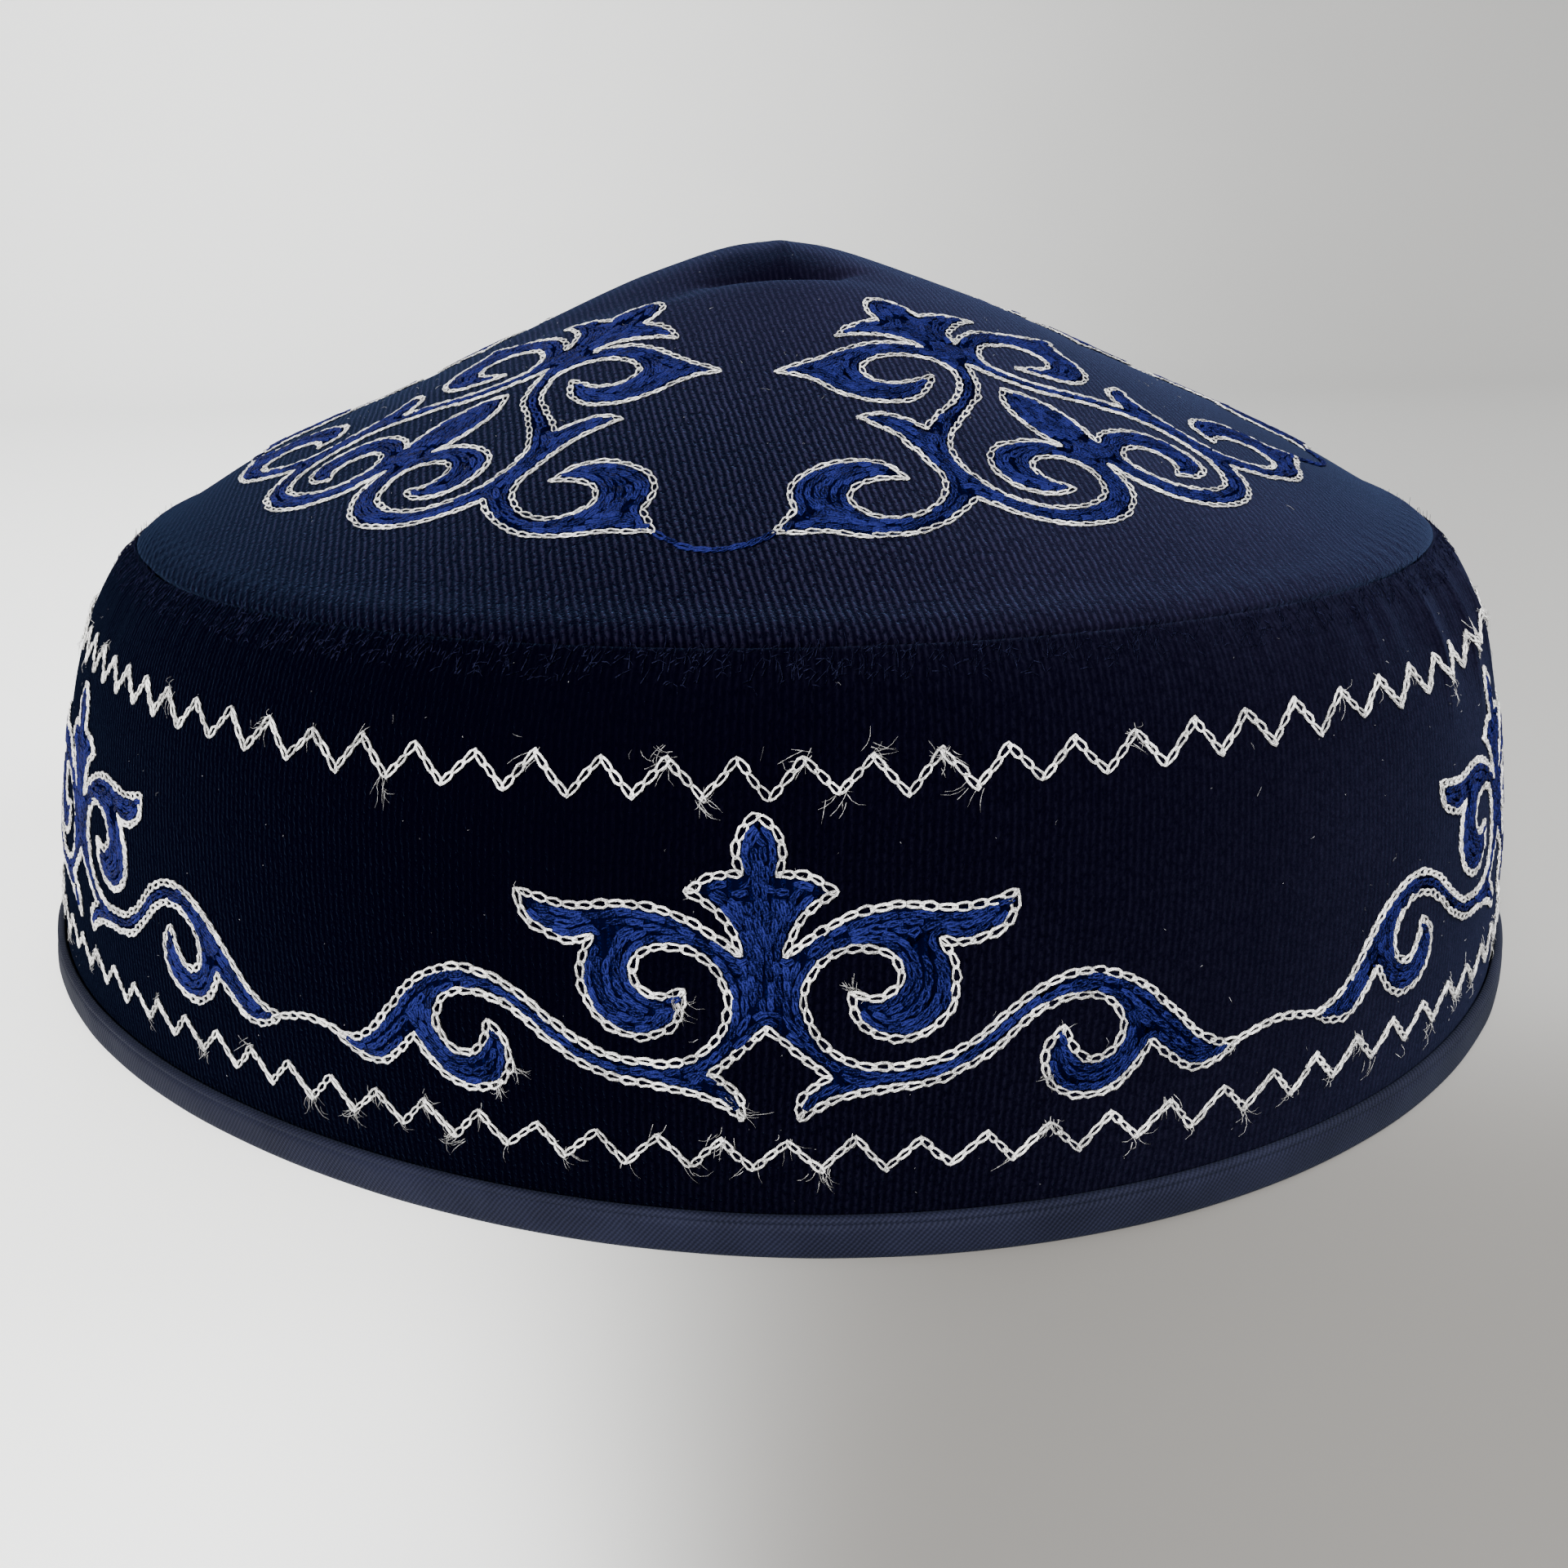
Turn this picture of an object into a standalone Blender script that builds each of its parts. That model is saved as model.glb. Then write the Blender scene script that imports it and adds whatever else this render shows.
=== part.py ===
"""Embroidered skullcap: a low velvet crown, a velvet band and a bound lower edge.

Metres, +Z up. The cap stands on the flat underside of its binding at z = 0. Azimuth is measured
from -Y, which is the front, and grows towards +X. The table values are in millimetres and degrees.
"""
import math

import bpy
import numpy as np

MM = 0.001

# Cloth
WALL = 2.0 * MM
TAPE = 1.0 * MM
GAP = 0.3 * MM

# Band and crown
SEAM_HEIGHT = 53.9 * MM
SEAM_RADIUS = 80.3 * MM
DIP_RIGHT = 2.2 * MM
DIP_LEFT = 0.8 * MM
SEAM_SLOPE = math.radians(38.0)
SEAM_LIP = 1.4 * MM
CONE_RISE = 35.0 * MM
PEAK_ROUNDING = 18.0 * MM
CROWN_SWELL = 0.030
LEAN = 0.056

# Binding
BINDING_HEIGHT = 4.7 * MM
BINDING_CORNER = 0.7 * MM

# The band's outer side, from the lower edge to the shoulder: height and mean radius
BAND_PROFILE_MM = (
    # height, radius
    (1.7, 90.7),
    (6.0, 90.8),
    (11.0, 90.7),
    (18.0, 90.4),
    (25.0, 89.8),
    (35.0, 88.5),
    (43.0, 86.7),
    (48.5, 84.6),
    (52.0, 82.4),
)

# Where the crown has a ring of vertices, as a share of the seam's radius
CROWN_RINGS = (0.0, 0.06, 0.12, 0.17, 0.215, 0.26, 0.33, 0.45, 0.58, 0.72, 0.85, 0.94)

# How far the outline departs from a circle, as shares of the radius
OUTLINE = {
    # place: cos 2t, sin 2t, cos 3t, sin 3t
    "rim": (-0.066, 0.028, 0.022, 0.009),
    "seam": (0.003, 0.003, 0.011, 0.0045),
}

# Soft gathers under the seam, on the band's right front
GATHERS = (
    # azimuth, half width in degrees, height, half height in mm, depth in mm
    (45.0, 2.4, 50.0, 5.0, 0.6),
    (52.5, 2.2, 49.0, 7.0, 0.9),
    (60.0, 2.2, 49.0, 7.0, 0.8),
)

# Folds of the crown: the crease in front of the pinched peak and the fold that leaves it
FOLDS = (
    # x, y, half length, half width in mm, turn in degrees, depth in mm
    (0.0, -14.5, 10.0, 3.6, 0.0, 1.5),
    (-20.0, -13.5, 13.0, 4.0, -10.0, 0.7),
)

STEPS = 96
MERGE = 0.00001
SMOOTH_ANGLE = math.radians(40.0)

# Base colour and roughness
VELVET = ((0.016, 0.020, 0.052), 0.95)
TWILL = ((0.045, 0.058, 0.110), 0.85)


def clear_scene():
    """Remove every object that the file opened with."""
    for item in list(bpy.data.objects):
        bpy.data.objects.remove(item, do_unlink=True)


def cloth(name, look):
    """A Principled material for one cloth."""
    colour, roughness = look
    material = bpy.data.materials.new(name)
    material.use_nodes = True
    shader = material.node_tree.nodes["Principled BSDF"]
    shader.inputs["Base Color"].default_value = (*colour, 1.0)
    shader.inputs["Roughness"].default_value = roughness
    shader.inputs["Metallic"].default_value = 0.0
    return material


def smooth_curve(at, knots, values):
    """Cubic curve through a table, with each knot's slope taken from its two neighbours."""
    slopes = np.gradient(values, knots)
    cell = np.clip(np.searchsorted(knots, at) - 1, 0, len(knots) - 2)
    width = knots[cell + 1] - knots[cell]
    u = (at - knots[cell]) / width
    start = (1 + 2 * u) * (1 - u) ** 2 * values[cell] + u * (1 - u) ** 2 * width * slopes[cell]
    end = u * u * (3 - 2 * u) * values[cell + 1] + u * u * (u - 1) * width * slopes[cell + 1]
    return start + end


def band_radius(height):
    """Mean radius of the band's outer side at a height."""
    table = np.array(BAND_PROFILE_MM + ((SEAM_HEIGHT / MM, SEAM_RADIUS / MM),)) * MM
    inside = np.clip(height, table[0, 0], table[-1, 0])
    return smooth_curve(inside, table[:, 0], table[:, 1])


def outline(azimuth, height):
    """Radius factor of the oval, which changes evenly from the rim to the seam."""
    share = np.clip(height / SEAM_HEIGHT, 0.0, 1.0)
    waves = (np.cos(2 * azimuth), np.sin(2 * azimuth), np.cos(3 * azimuth), np.sin(3 * azimuth))
    factor = np.ones_like(azimuth)
    for low, high, wave in zip(OUTLINE["rim"], OUTLINE["seam"], waves):
        factor += (low * (1 - share) + high * share) * wave
    return factor


def crown_height(radius):
    """Height of the crown over a circle: a cone that swells a little and has a rounded peak."""
    share = 1 - radius / SEAM_RADIUS
    cone = CONE_RISE * (share + 4 * CROWN_SWELL * share * (1 - share) ** 3)
    inside = np.clip(PEAK_ROUNDING - radius, 0.0, None)
    return SEAM_HEIGHT + cone - CONE_RISE / SEAM_RADIUS * inside ** 2 / (2 * PEAK_ROUNDING)


def dip(azimuth, share):
    """How far the cloth comes down at the sides, where the wall leans in most."""
    side = np.sin(azimuth)
    return side ** 2 * share * (DIP_RIGHT * (1 + side) + DIP_LEFT * (1 - side)) / 2


def seam_point(along):
    """Point of the seam's slanted line, at a distance down the slope from the seam."""
    return SEAM_RADIUS + along * math.cos(SEAM_SLOPE), SEAM_HEIGHT - along * math.sin(SEAM_SLOPE)


def turned(name, profile, closed, material, collection):
    """Turn a profile of radius and height pairs about Z into a mesh object."""
    count = len(profile)
    edges = [(i, i + 1) for i in range(count - 1)]
    if closed:
        edges.append((count - 1, 0))
    mesh = bpy.data.meshes.new(name)
    mesh.from_pydata([(radius, 0.0, height) for radius, height in profile], edges, [])
    piece = bpy.data.objects.new(name, mesh)
    collection.objects.link(piece)
    screw = piece.modifiers.new("turn", "SCREW")
    screw.steps = STEPS
    screw.render_steps = STEPS
    screw.use_merge_vertices = True
    screw.merge_threshold = MERGE
    piece.data = bpy.data.meshes.new_from_object(piece.evaluated_get(bpy.context.evaluated_depsgraph_get()))
    piece.data.name = name
    piece.modifiers.clear()
    bpy.data.meshes.remove(mesh)
    piece.data.materials.append(material)
    return piece


def reshape(piece, rule):
    """Move every vertex by a rule that takes azimuth, radius and height arrays and returns x, y, z."""
    count = len(piece.data.vertices)
    flat = np.empty(count * 3)
    piece.data.vertices.foreach_get("co", flat)
    x, y, z = flat.reshape(count, 3).T
    placed = np.stack(rule(np.arctan2(x, -y), np.hypot(x, y), z), axis=1)
    piece.data.vertices.foreach_set("co", placed.ravel())
    piece.data.update()


def wall_place(azimuth, radius, height):
    """Oval, gathered and leaning place of a point of the band or the binding."""
    mean = band_radius(height)
    radius = radius + mean * (outline(azimuth, height) - 1)
    for centre, half_width, middle, half_height, depth in GATHERS:
        across = (azimuth - math.radians(centre)) / math.radians(half_width)
        up = (height - middle * MM) / (half_height * MM)
        edge = np.clip((SEAM_HEIGHT - height) / SEAM_LIP, 0.0, 1.0)
        radius = radius - depth * MM * np.exp(-across ** 2 - up ** 2) * edge
    x = radius * np.sin(azimuth) + LEAN * height
    return x, -radius * np.cos(azimuth), height - dip(azimuth, height / SEAM_HEIGHT)


def crown_place(azimuth, radius, height):
    """Oval and folded place of a point of the crown."""
    reach = radius * outline(azimuth, np.full_like(radius, SEAM_HEIGHT))
    x = reach * np.sin(azimuth)
    y = -reach * np.cos(azimuth)
    for centre_x, centre_y, half_length, half_width, turn, depth in FOLDS:
        angle = math.radians(turn)
        dx = x - centre_x * MM
        dy = y - centre_y * MM
        along = (dx * math.cos(angle) + dy * math.sin(angle)) / (half_length * MM)
        across = (dy * math.cos(angle) - dx * math.sin(angle)) / (half_width * MM)
        height = height - depth * MM * np.exp(-along ** 2 - across ** 2)
    return x + LEAN * SEAM_HEIGHT, y, height - dip(azimuth, (radius / SEAM_RADIUS) ** 2)


def add_wall(piece):
    """Give an open surface its cloth thickness on the inner side."""
    wall = piece.modifiers.new("wall", "SOLIDIFY")
    wall.thickness = WALL
    wall.offset = -1.0
    wall.use_even_offset = True
    wall.use_rim = True


def make_crown(material, collection):
    """The crown: rings of a rounded cone, ending in a slanted lip at the seam."""
    profile = [(share * SEAM_RADIUS, float(crown_height(share * SEAM_RADIUS))) for share in CROWN_RINGS]
    profile += [seam_point(-GAP / 2 - SEAM_LIP), seam_point(-GAP / 2)]
    crown = turned("crown", profile, False, material, collection)
    reshape(crown, crown_place)
    add_wall(crown)
    return crown


def make_band(material, collection):
    """The band: the side wall from the seam down into the binding."""
    heights = [height * MM for height, _ in reversed(BAND_PROFILE_MM)]
    profile = [seam_point(GAP / 2), seam_point(GAP / 2 + SEAM_LIP)]
    profile += [(float(band_radius(height)), height) for height in heights]
    band = turned("band", profile, False, material, collection)
    reshape(band, wall_place)
    add_wall(band)
    return band


def make_binding(material, collection):
    """The binding: a tape folded up both sides of the band's lower edge, flat underneath."""
    face = BAND_PROFILE_MM[0][1] * MM
    outer = face + GAP
    inner = face - WALL - GAP
    low = TAPE
    top = BINDING_HEIGHT
    middle = (low + top) / 2
    profile = [
        (outer + TAPE, top),
        (outer + TAPE, middle),
        (outer + TAPE, BINDING_CORNER),
        (outer + TAPE - BINDING_CORNER, 0.0),
        (inner - TAPE + BINDING_CORNER, 0.0),
        (inner - TAPE, BINDING_CORNER),
        (inner - TAPE, top),
        (inner, top),
        (inner, low),
        (outer, low),
        (outer, top),
    ]
    binding = turned("binding", profile, True, material, collection)
    reshape(binding, wall_place)
    return binding


def stand_centred(pieces):
    """Move the pieces together so that their box is centred over the origin."""
    corners = np.concatenate([vertices_of(piece) for piece in pieces])
    middle = (corners.min(axis=0) + corners.max(axis=0)) / 2
    for piece in pieces:
        piece.location = (-middle[0], -middle[1], 0.0)


def vertices_of(piece):
    """Vertex places of a piece's mesh as an array of three columns."""
    flat = np.empty(len(piece.data.vertices) * 3)
    piece.data.vertices.foreach_get("co", flat)
    return flat.reshape(-1, 3)


def main():
    """Build the cap."""
    clear_scene()
    collection = bpy.data.collections.new("embroidered_skullcap")
    bpy.context.scene.collection.children.link(collection)
    velvet = cloth("velvet", VELVET)
    twill = cloth("twill", TWILL)
    pieces = [
        make_crown(velvet, collection),
        make_band(velvet, collection),
        make_binding(twill, collection),
    ]
    for piece in pieces:
        piece.data.shade_smooth()
        piece.data.set_sharp_from_angle(angle=SMOOTH_ANGLE)
    stand_centred(pieces)


main()
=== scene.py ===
"""Embroidered skullcap: ribbed velvet, twill binding, chain-stitch ornament, studio and camera.

The cap stands on its bound lower edge at z = 0. Numbers are metres, unless a name ends in _MM or a
table's heading says otherwise. Azimuth is measured from -Y, which is the front, towards +X.
"""
import logging
import math
from dataclasses import dataclass, field
from enum import Enum
from typing import Any, Mapping, Sequence

import bpy
import numpy as np
from mathutils import Matrix, Vector


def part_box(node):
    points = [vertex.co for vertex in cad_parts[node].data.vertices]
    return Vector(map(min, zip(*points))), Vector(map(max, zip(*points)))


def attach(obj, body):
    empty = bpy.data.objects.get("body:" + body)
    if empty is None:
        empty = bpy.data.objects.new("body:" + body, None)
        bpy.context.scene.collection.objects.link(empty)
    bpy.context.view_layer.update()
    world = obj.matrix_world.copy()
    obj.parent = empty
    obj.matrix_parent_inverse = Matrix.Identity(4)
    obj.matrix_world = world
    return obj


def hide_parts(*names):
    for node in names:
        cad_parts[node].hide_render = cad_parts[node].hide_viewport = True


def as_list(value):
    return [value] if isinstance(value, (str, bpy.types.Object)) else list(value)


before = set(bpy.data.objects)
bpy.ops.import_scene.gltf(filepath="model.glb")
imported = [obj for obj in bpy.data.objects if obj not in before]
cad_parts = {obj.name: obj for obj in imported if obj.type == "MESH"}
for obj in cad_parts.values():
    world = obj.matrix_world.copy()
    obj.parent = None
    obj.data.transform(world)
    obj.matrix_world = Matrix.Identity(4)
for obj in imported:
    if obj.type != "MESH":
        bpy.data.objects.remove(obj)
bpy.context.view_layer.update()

Array = np.ndarray
Material = bpy.types.Material
Piece = bpy.types.Object
Colour = tuple[float, float, float]
Span = tuple[float, float]
Table = tuple[tuple[float, ...], ...]

MM = 0.001
TURN = 2 * math.pi
CHART_RADIUS = 92.0 * MM
# Tone of the padding, below the darkest end: painted shade in the gaps between the filling stitches
PAD_SHADE_TONE = -0.6
log = logging.getLogger("skullcap")

# Right half of the band's ornament on its flat chart, from the top of the finial round to the foot
BAND_HALF_MM = (
    # across, up, sharp corner
    (0.0, 41.7, 0), (1.0, 41.1, 0), (1.7, 40.1, 0), (2.0, 38.7, 0), (1.6, 37.0, 1),
    (4.0, 36.8, 0), (6.2, 35.5, 1), (4.2, 34.2, 0), (2.7, 32.3, 0), (1.9, 30.1, 1),
    (3.8, 31.4, 0), (5.7, 32.6, 0), (7.8, 33.6, 0), (10.1, 34.1, 0), (12.3, 34.2, 0),
    (14.6, 33.9, 0), (16.9, 33.8, 0), (19.1, 34.1, 0), (21.5, 34.6, 1),
    (21.0, 32.4, 0), (19.1, 31.2, 0), (16.9, 30.6, 0), (14.9, 31.1, 1),
    (16.0, 29.1, 0), (16.2, 26.7, 0), (15.5, 24.5, 0), (13.8, 22.9, 0), (11.6, 22.2, 0),
    (9.3, 22.7, 0), (7.6, 24.3, 0), (7.2, 26.6, 1),
    (9.6, 26.1, 0), (11.4, 27.5, 0), (10.9, 29.7, 0), (8.8, 30.6, 0), (6.5, 30.4, 0),
    (4.5, 29.1, 0), (3.4, 27.0, 0), (3.4, 24.6, 0), (4.3, 22.5, 0), (6.0, 20.8, 0),
    (8.2, 19.9, 0), (10.6, 19.7, 0), (13.0, 19.9, 0), (15.2, 20.4, 0), (17.4, 21.5, 0),
    (19.4, 22.9, 0), (21.2, 24.4, 0), (23.2, 25.7, 0), (25.4, 26.6, 0), (27.8, 26.9, 0),
    (30.1, 26.5, 0), (32.3, 25.5, 0), (34.2, 24.1, 0), (35.8, 22.4, 0), (37.5, 20.6, 0),
    (39.2, 18.9, 0), (41.2, 17.7, 0), (43.4, 17.2, 1),
    (41.9, 16.2, 0), (40.0, 15.6, 0), (38.2, 15.8, 0), (36.1, 17.4, 0), (34.2, 19.3, 1),
    (32.9, 17.4, 0), (31.3, 15.8, 0), (29.2, 15.0, 0), (27.0, 15.2, 0), (25.1, 16.2, 0),
    (24.1, 18.2, 0), (24.3, 20.4, 0), (25.8, 22.0, 1),
    (26.7, 19.9, 0), (28.4, 18.4, 0), (30.6, 19.2, 0), (31.4, 21.3, 0), (30.5, 23.4, 0),
    (28.5, 24.6, 0), (26.2, 24.7, 0), (23.9, 24.0, 0), (21.9, 22.7, 0), (20.1, 21.2, 0),
    (18.1, 19.8, 0), (16.1, 18.7, 0), (13.8, 18.0, 0), (11.5, 17.7, 0), (9.1, 17.4, 0),
    (6.8, 17.0, 0), (4.6, 16.1, 0), (2.6, 14.8, 1),
    (2.6, 16.5, 0), (3.4, 17.6, 0), (5.2, 18.8, 1),
    (3.5, 20.3, 0), (1.8, 21.8, 0), (0.0, 23.4, 1),
)

# Right half of the crown's ornament, outer outline: up is the distance from the peak in plan
CROWN_HALF_MM = (
    # across, out from the peak, sharp corner
    (0.0, 23.1, 0), (1.3, 23.7, 0), (2.3, 25.0, 0), (2.8, 26.3, 0), (2.9, 27.6, 1),
    (5.6, 27.5, 0), (7.6, 27.8, 0), (9.6, 28.8, 1),
    (7.3, 29.5, 0), (5.2, 30.6, 0), (3.3, 32.0, 0), (2.4, 34.1, 1),
    (4.4, 32.7, 0), (6.7, 31.8, 0), (9.2, 31.5, 0), (11.7, 31.6, 0), (14.2, 31.7, 0),
    (16.7, 31.5, 0), (19.4, 31.2, 1),
    (18.1, 33.2, 0), (17.4, 35.2, 0), (17.1, 37.6, 0), (16.2, 39.8, 0), (14.5, 41.6, 0),
    (12.3, 42.6, 0), (9.9, 42.4, 0), (7.7, 41.3, 0), (5.9, 39.7, 1),
    (8.3, 39.8, 0), (10.7, 39.5, 0), (12.3, 37.9, 0), (11.9, 35.7, 0), (9.9, 34.6, 0),
    (7.5, 34.5, 0), (5.2, 35.2, 0), (3.4, 36.7, 0), (2.7, 39.0, 0), (3.7, 41.2, 0),
    (5.2, 43.0, 0), (7.2, 44.4, 0), (9.4, 45.4, 0), (11.6, 46.4, 0), (13.7, 47.6, 1),
    (14.5, 45.4, 0), (16.0, 43.5, 0), (18.4, 42.9, 1),
    (17.6, 45.2, 0), (17.2, 47.6, 0), (17.4, 50.0, 0), (17.8, 52.4, 0), (18.3, 54.8, 0),
    (19.8, 56.8, 0), (21.9, 57.9, 0), (24.3, 58.2, 0), (26.6, 57.5, 0), (28.1, 55.6, 0),
    (28.0, 53.3, 0), (26.1, 52.0, 0), (23.7, 52.2, 0), (21.4, 53.5, 1),
    (21.5, 50.9, 0), (23.0, 49.1, 0), (25.1, 48.0, 0), (27.5, 47.6, 0), (29.9, 48.0, 0),
    (31.8, 49.4, 0), (32.9, 51.6, 1), (36.3, 52.9, 1),
    (34.4, 54.4, 0), (32.5, 55.8, 0), (30.9, 57.5, 0), (29.0, 59.0, 0), (26.9, 60.0, 0),
    (24.6, 60.4, 0), (22.3, 60.3, 0), (20.0, 59.7, 0), (17.7, 58.8, 1),
    (16.6, 61.1, 0), (15.1, 63.2, 0), (13.1, 64.8, 0), (10.8, 65.8, 0), (8.3, 66.2, 0),
    (5.8, 65.8, 0), (3.5, 64.7, 0), (1.7, 63.0, 0), (0.7, 61.0, 0), (0.0, 58.5, 1),
)

# Right half of the opening between the crown ornament's branches, round the coil and up the bud
CROWN_OPENING_MM = (
    # across, out from the peak, sharp corner
    (0.0, 38.5, 1), (1.1, 40.7, 0), (2.5, 42.8, 0), (4.2, 44.6, 0), (6.3, 45.9, 0),
    (8.5, 47.1, 0), (10.6, 48.4, 0), (12.6, 49.8, 0), (14.2, 51.5, 0), (15.1, 53.8, 0),
    (15.4, 56.2, 0), (15.1, 58.7, 0), (14.0, 60.8, 0), (12.3, 62.5, 0), (10.0, 63.4, 0),
    (7.6, 63.4, 0), (5.2, 62.6, 0), (3.6, 60.8, 0), (2.9, 58.5, 0), (4.2, 56.5, 0),
    (6.6, 55.7, 0), (8.7, 56.8, 0), (8.9, 59.0, 0), (7.3, 60.8, 1),
    (9.6, 61.2, 0), (11.8, 60.2, 0), (12.9, 58.2, 0), (12.7, 55.8, 0), (11.4, 53.8, 0),
    (9.2, 52.8, 0), (6.8, 52.7, 0), (4.5, 53.2, 0), (2.5, 54.5, 1),
    (3.1, 52.1, 0), (3.1, 49.7, 0), (2.6, 47.4, 0), (1.6, 45.3, 0), (0.0, 43.8, 1),
)

# Where the crown's five figures are sewn
CROWN_FIGURES = (
    # name, azimuth and turn in degrees, way outwards in mm, then the half that the cloth drags: its
    # side, and how far the leaf tip goes aside and outwards in mm
    ("front_left", -40.8, 9.2, -1.0, -1, 0.3, 6.8),
    ("front_right", 29.6, -7.5, 0.5, 1, -1.2, 3.4),
    ("right", 108.5, 0.0, 0.7, 1, 0.0, 0.0),
    ("back", 177.0, 0.0, 0.7, 1, 0.0, 0.0),
    ("left", -113.5, 0.0, 0.7, 1, 0.0, 0.0),
)

# Where the band's six figures are sewn
BAND_FIGURES = (
    # name, azimuth in degrees
    ("front", -0.42),
    ("front_right", 59.65),
    ("back_right", 119.6),
    ("back", 179.7),
    ("back_left", -120.1),
    ("front_left", -59.7),
)

# Where the teeth of the two zigzags stand, as the machine's pace drifted
UPPER_TEETH = (
    # tooth, along and up on the band's chart in mm
    (-16, -92.8, 45.0), (-12.43, -73.0, 44.6), (-7.51, -43.0, 44.4), (-2.5, -13.0, 44.5),
    (2.68, 17.0, 44.9), (7.71, 47.0, 45.2), (12.22, 77.0, 45.1), (46, 281.0, 44.8),
    (81, 485.25, 45.0),
)
LOWER_TEETH = (
    # tooth, along and up on the band's chart in mm
    (-13, -75.0, 10.7), (-10.04, -58.0, 10.5), (-4.97, -28.0, 10.8), (0.12, 2.0, 10.9),
    (5.25, 32.0, 11.1), (10.37, 62.0, 11.0), (12.85, 77.0, 10.5), (48, 281.0, 10.8),
    (86, 503.05, 10.7),
)

# Upright rows in the stem of a figure on the band
STEM_ROWS = (
    # across, lower end and upper end in mm
    (0.37, 24.8, 39.2),
    (1.08, 25.6, 34.8),
    (1.80, 26.6, 29.2),
    (1.80, 32.8, 34.9),
    (2.50, 33.4, 34.9),
)

# Frayed thread ends of the front figure
FRAYED_ENDS = (
    # along, up in mm, heading in degrees, hairs, length in mm
    (-7.4, 26.0, -78.0, 16, 2.6),
    (7.6, 26.8, 128.0, 12, 1.7),
    (8.6, 26.4, 190.0, 6, 1.2),
    (-2.4, 15.0, -12.0, 8, 2.3),
    (-3.4, 16.2, 160.0, 4, 1.2),
    (-24.0, 17.6, -18.0, 12, 2.0),
    (-25.6, 15.6, -50.0, 10, 1.8),
    (24.6, 17.6, -130.0, 8, 1.6),
    (25.6, 21.6, 95.0, 6, 1.2),
    (-21.0, 34.4, 110.0, 3, 0.8),
    (21.0, 34.2, 60.0, 3, 0.8),
    (3.0, 36.2, 60.0, 4, 1.0),
    (-5.6, 35.6, 170.0, 4, 0.8),
    (43.0, 16.8, -60.0, 4, 1.0),
)


def smooth_curve(at: Array, knots: Array, values: Array) -> Array:
    """Cubic curve through a table, with each knot's slope taken from its two neighbours.

    Args:
        at: Places where the curve is wanted.
        knots: Places of the table's rows, rising.
        values: The table's values, in one column or several.

    Returns:
        The curve's value at each place.
    """
    if values.ndim == 2:
        return np.stack([smooth_curve(at, knots, column) for column in values.T], axis=-1)
    slopes = np.gradient(values, knots)
    cell = np.clip(np.searchsorted(knots, at) - 1, 0, len(knots) - 2)
    width = knots[cell + 1] - knots[cell]
    u = (at - knots[cell]) / width
    start = (1 + 2 * u) * (1 - u) ** 2 * values[cell] + u * (1 - u) ** 2 * width * slopes[cell]
    end = u * u * (3 - 2 * u) * values[cell + 1] + u * u * (u - 1) * width * slopes[cell + 1]
    return start + end


def straight_lines(at: Array, knots: Array, values: Array) -> Array:
    """Straight lines through a table of several columns, with smooth_curve's arguments."""
    return np.stack([np.interp(at, knots, column) for column in values.T], axis=-1)


def unit(vectors: Array) -> Array:
    """Vectors of length one, along the last axis."""
    return vectors / np.maximum(np.linalg.norm(vectors, axis=-1, keepdims=True), 1e-12)


def travelled(points: Array) -> Array:
    """Distance along each line of points, from zero at its first."""
    steps = np.linalg.norm(np.diff(points, axis=-2), axis=-1)
    return np.insert(np.cumsum(steps, axis=-1), 0, 0.0, axis=-1)


def bell(offset: Array, half_width: float) -> Array:
    """A bell of an offset: e to the power of less its square over the squared half width."""
    return np.exp(-((offset / half_width) ** 2))


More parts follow.
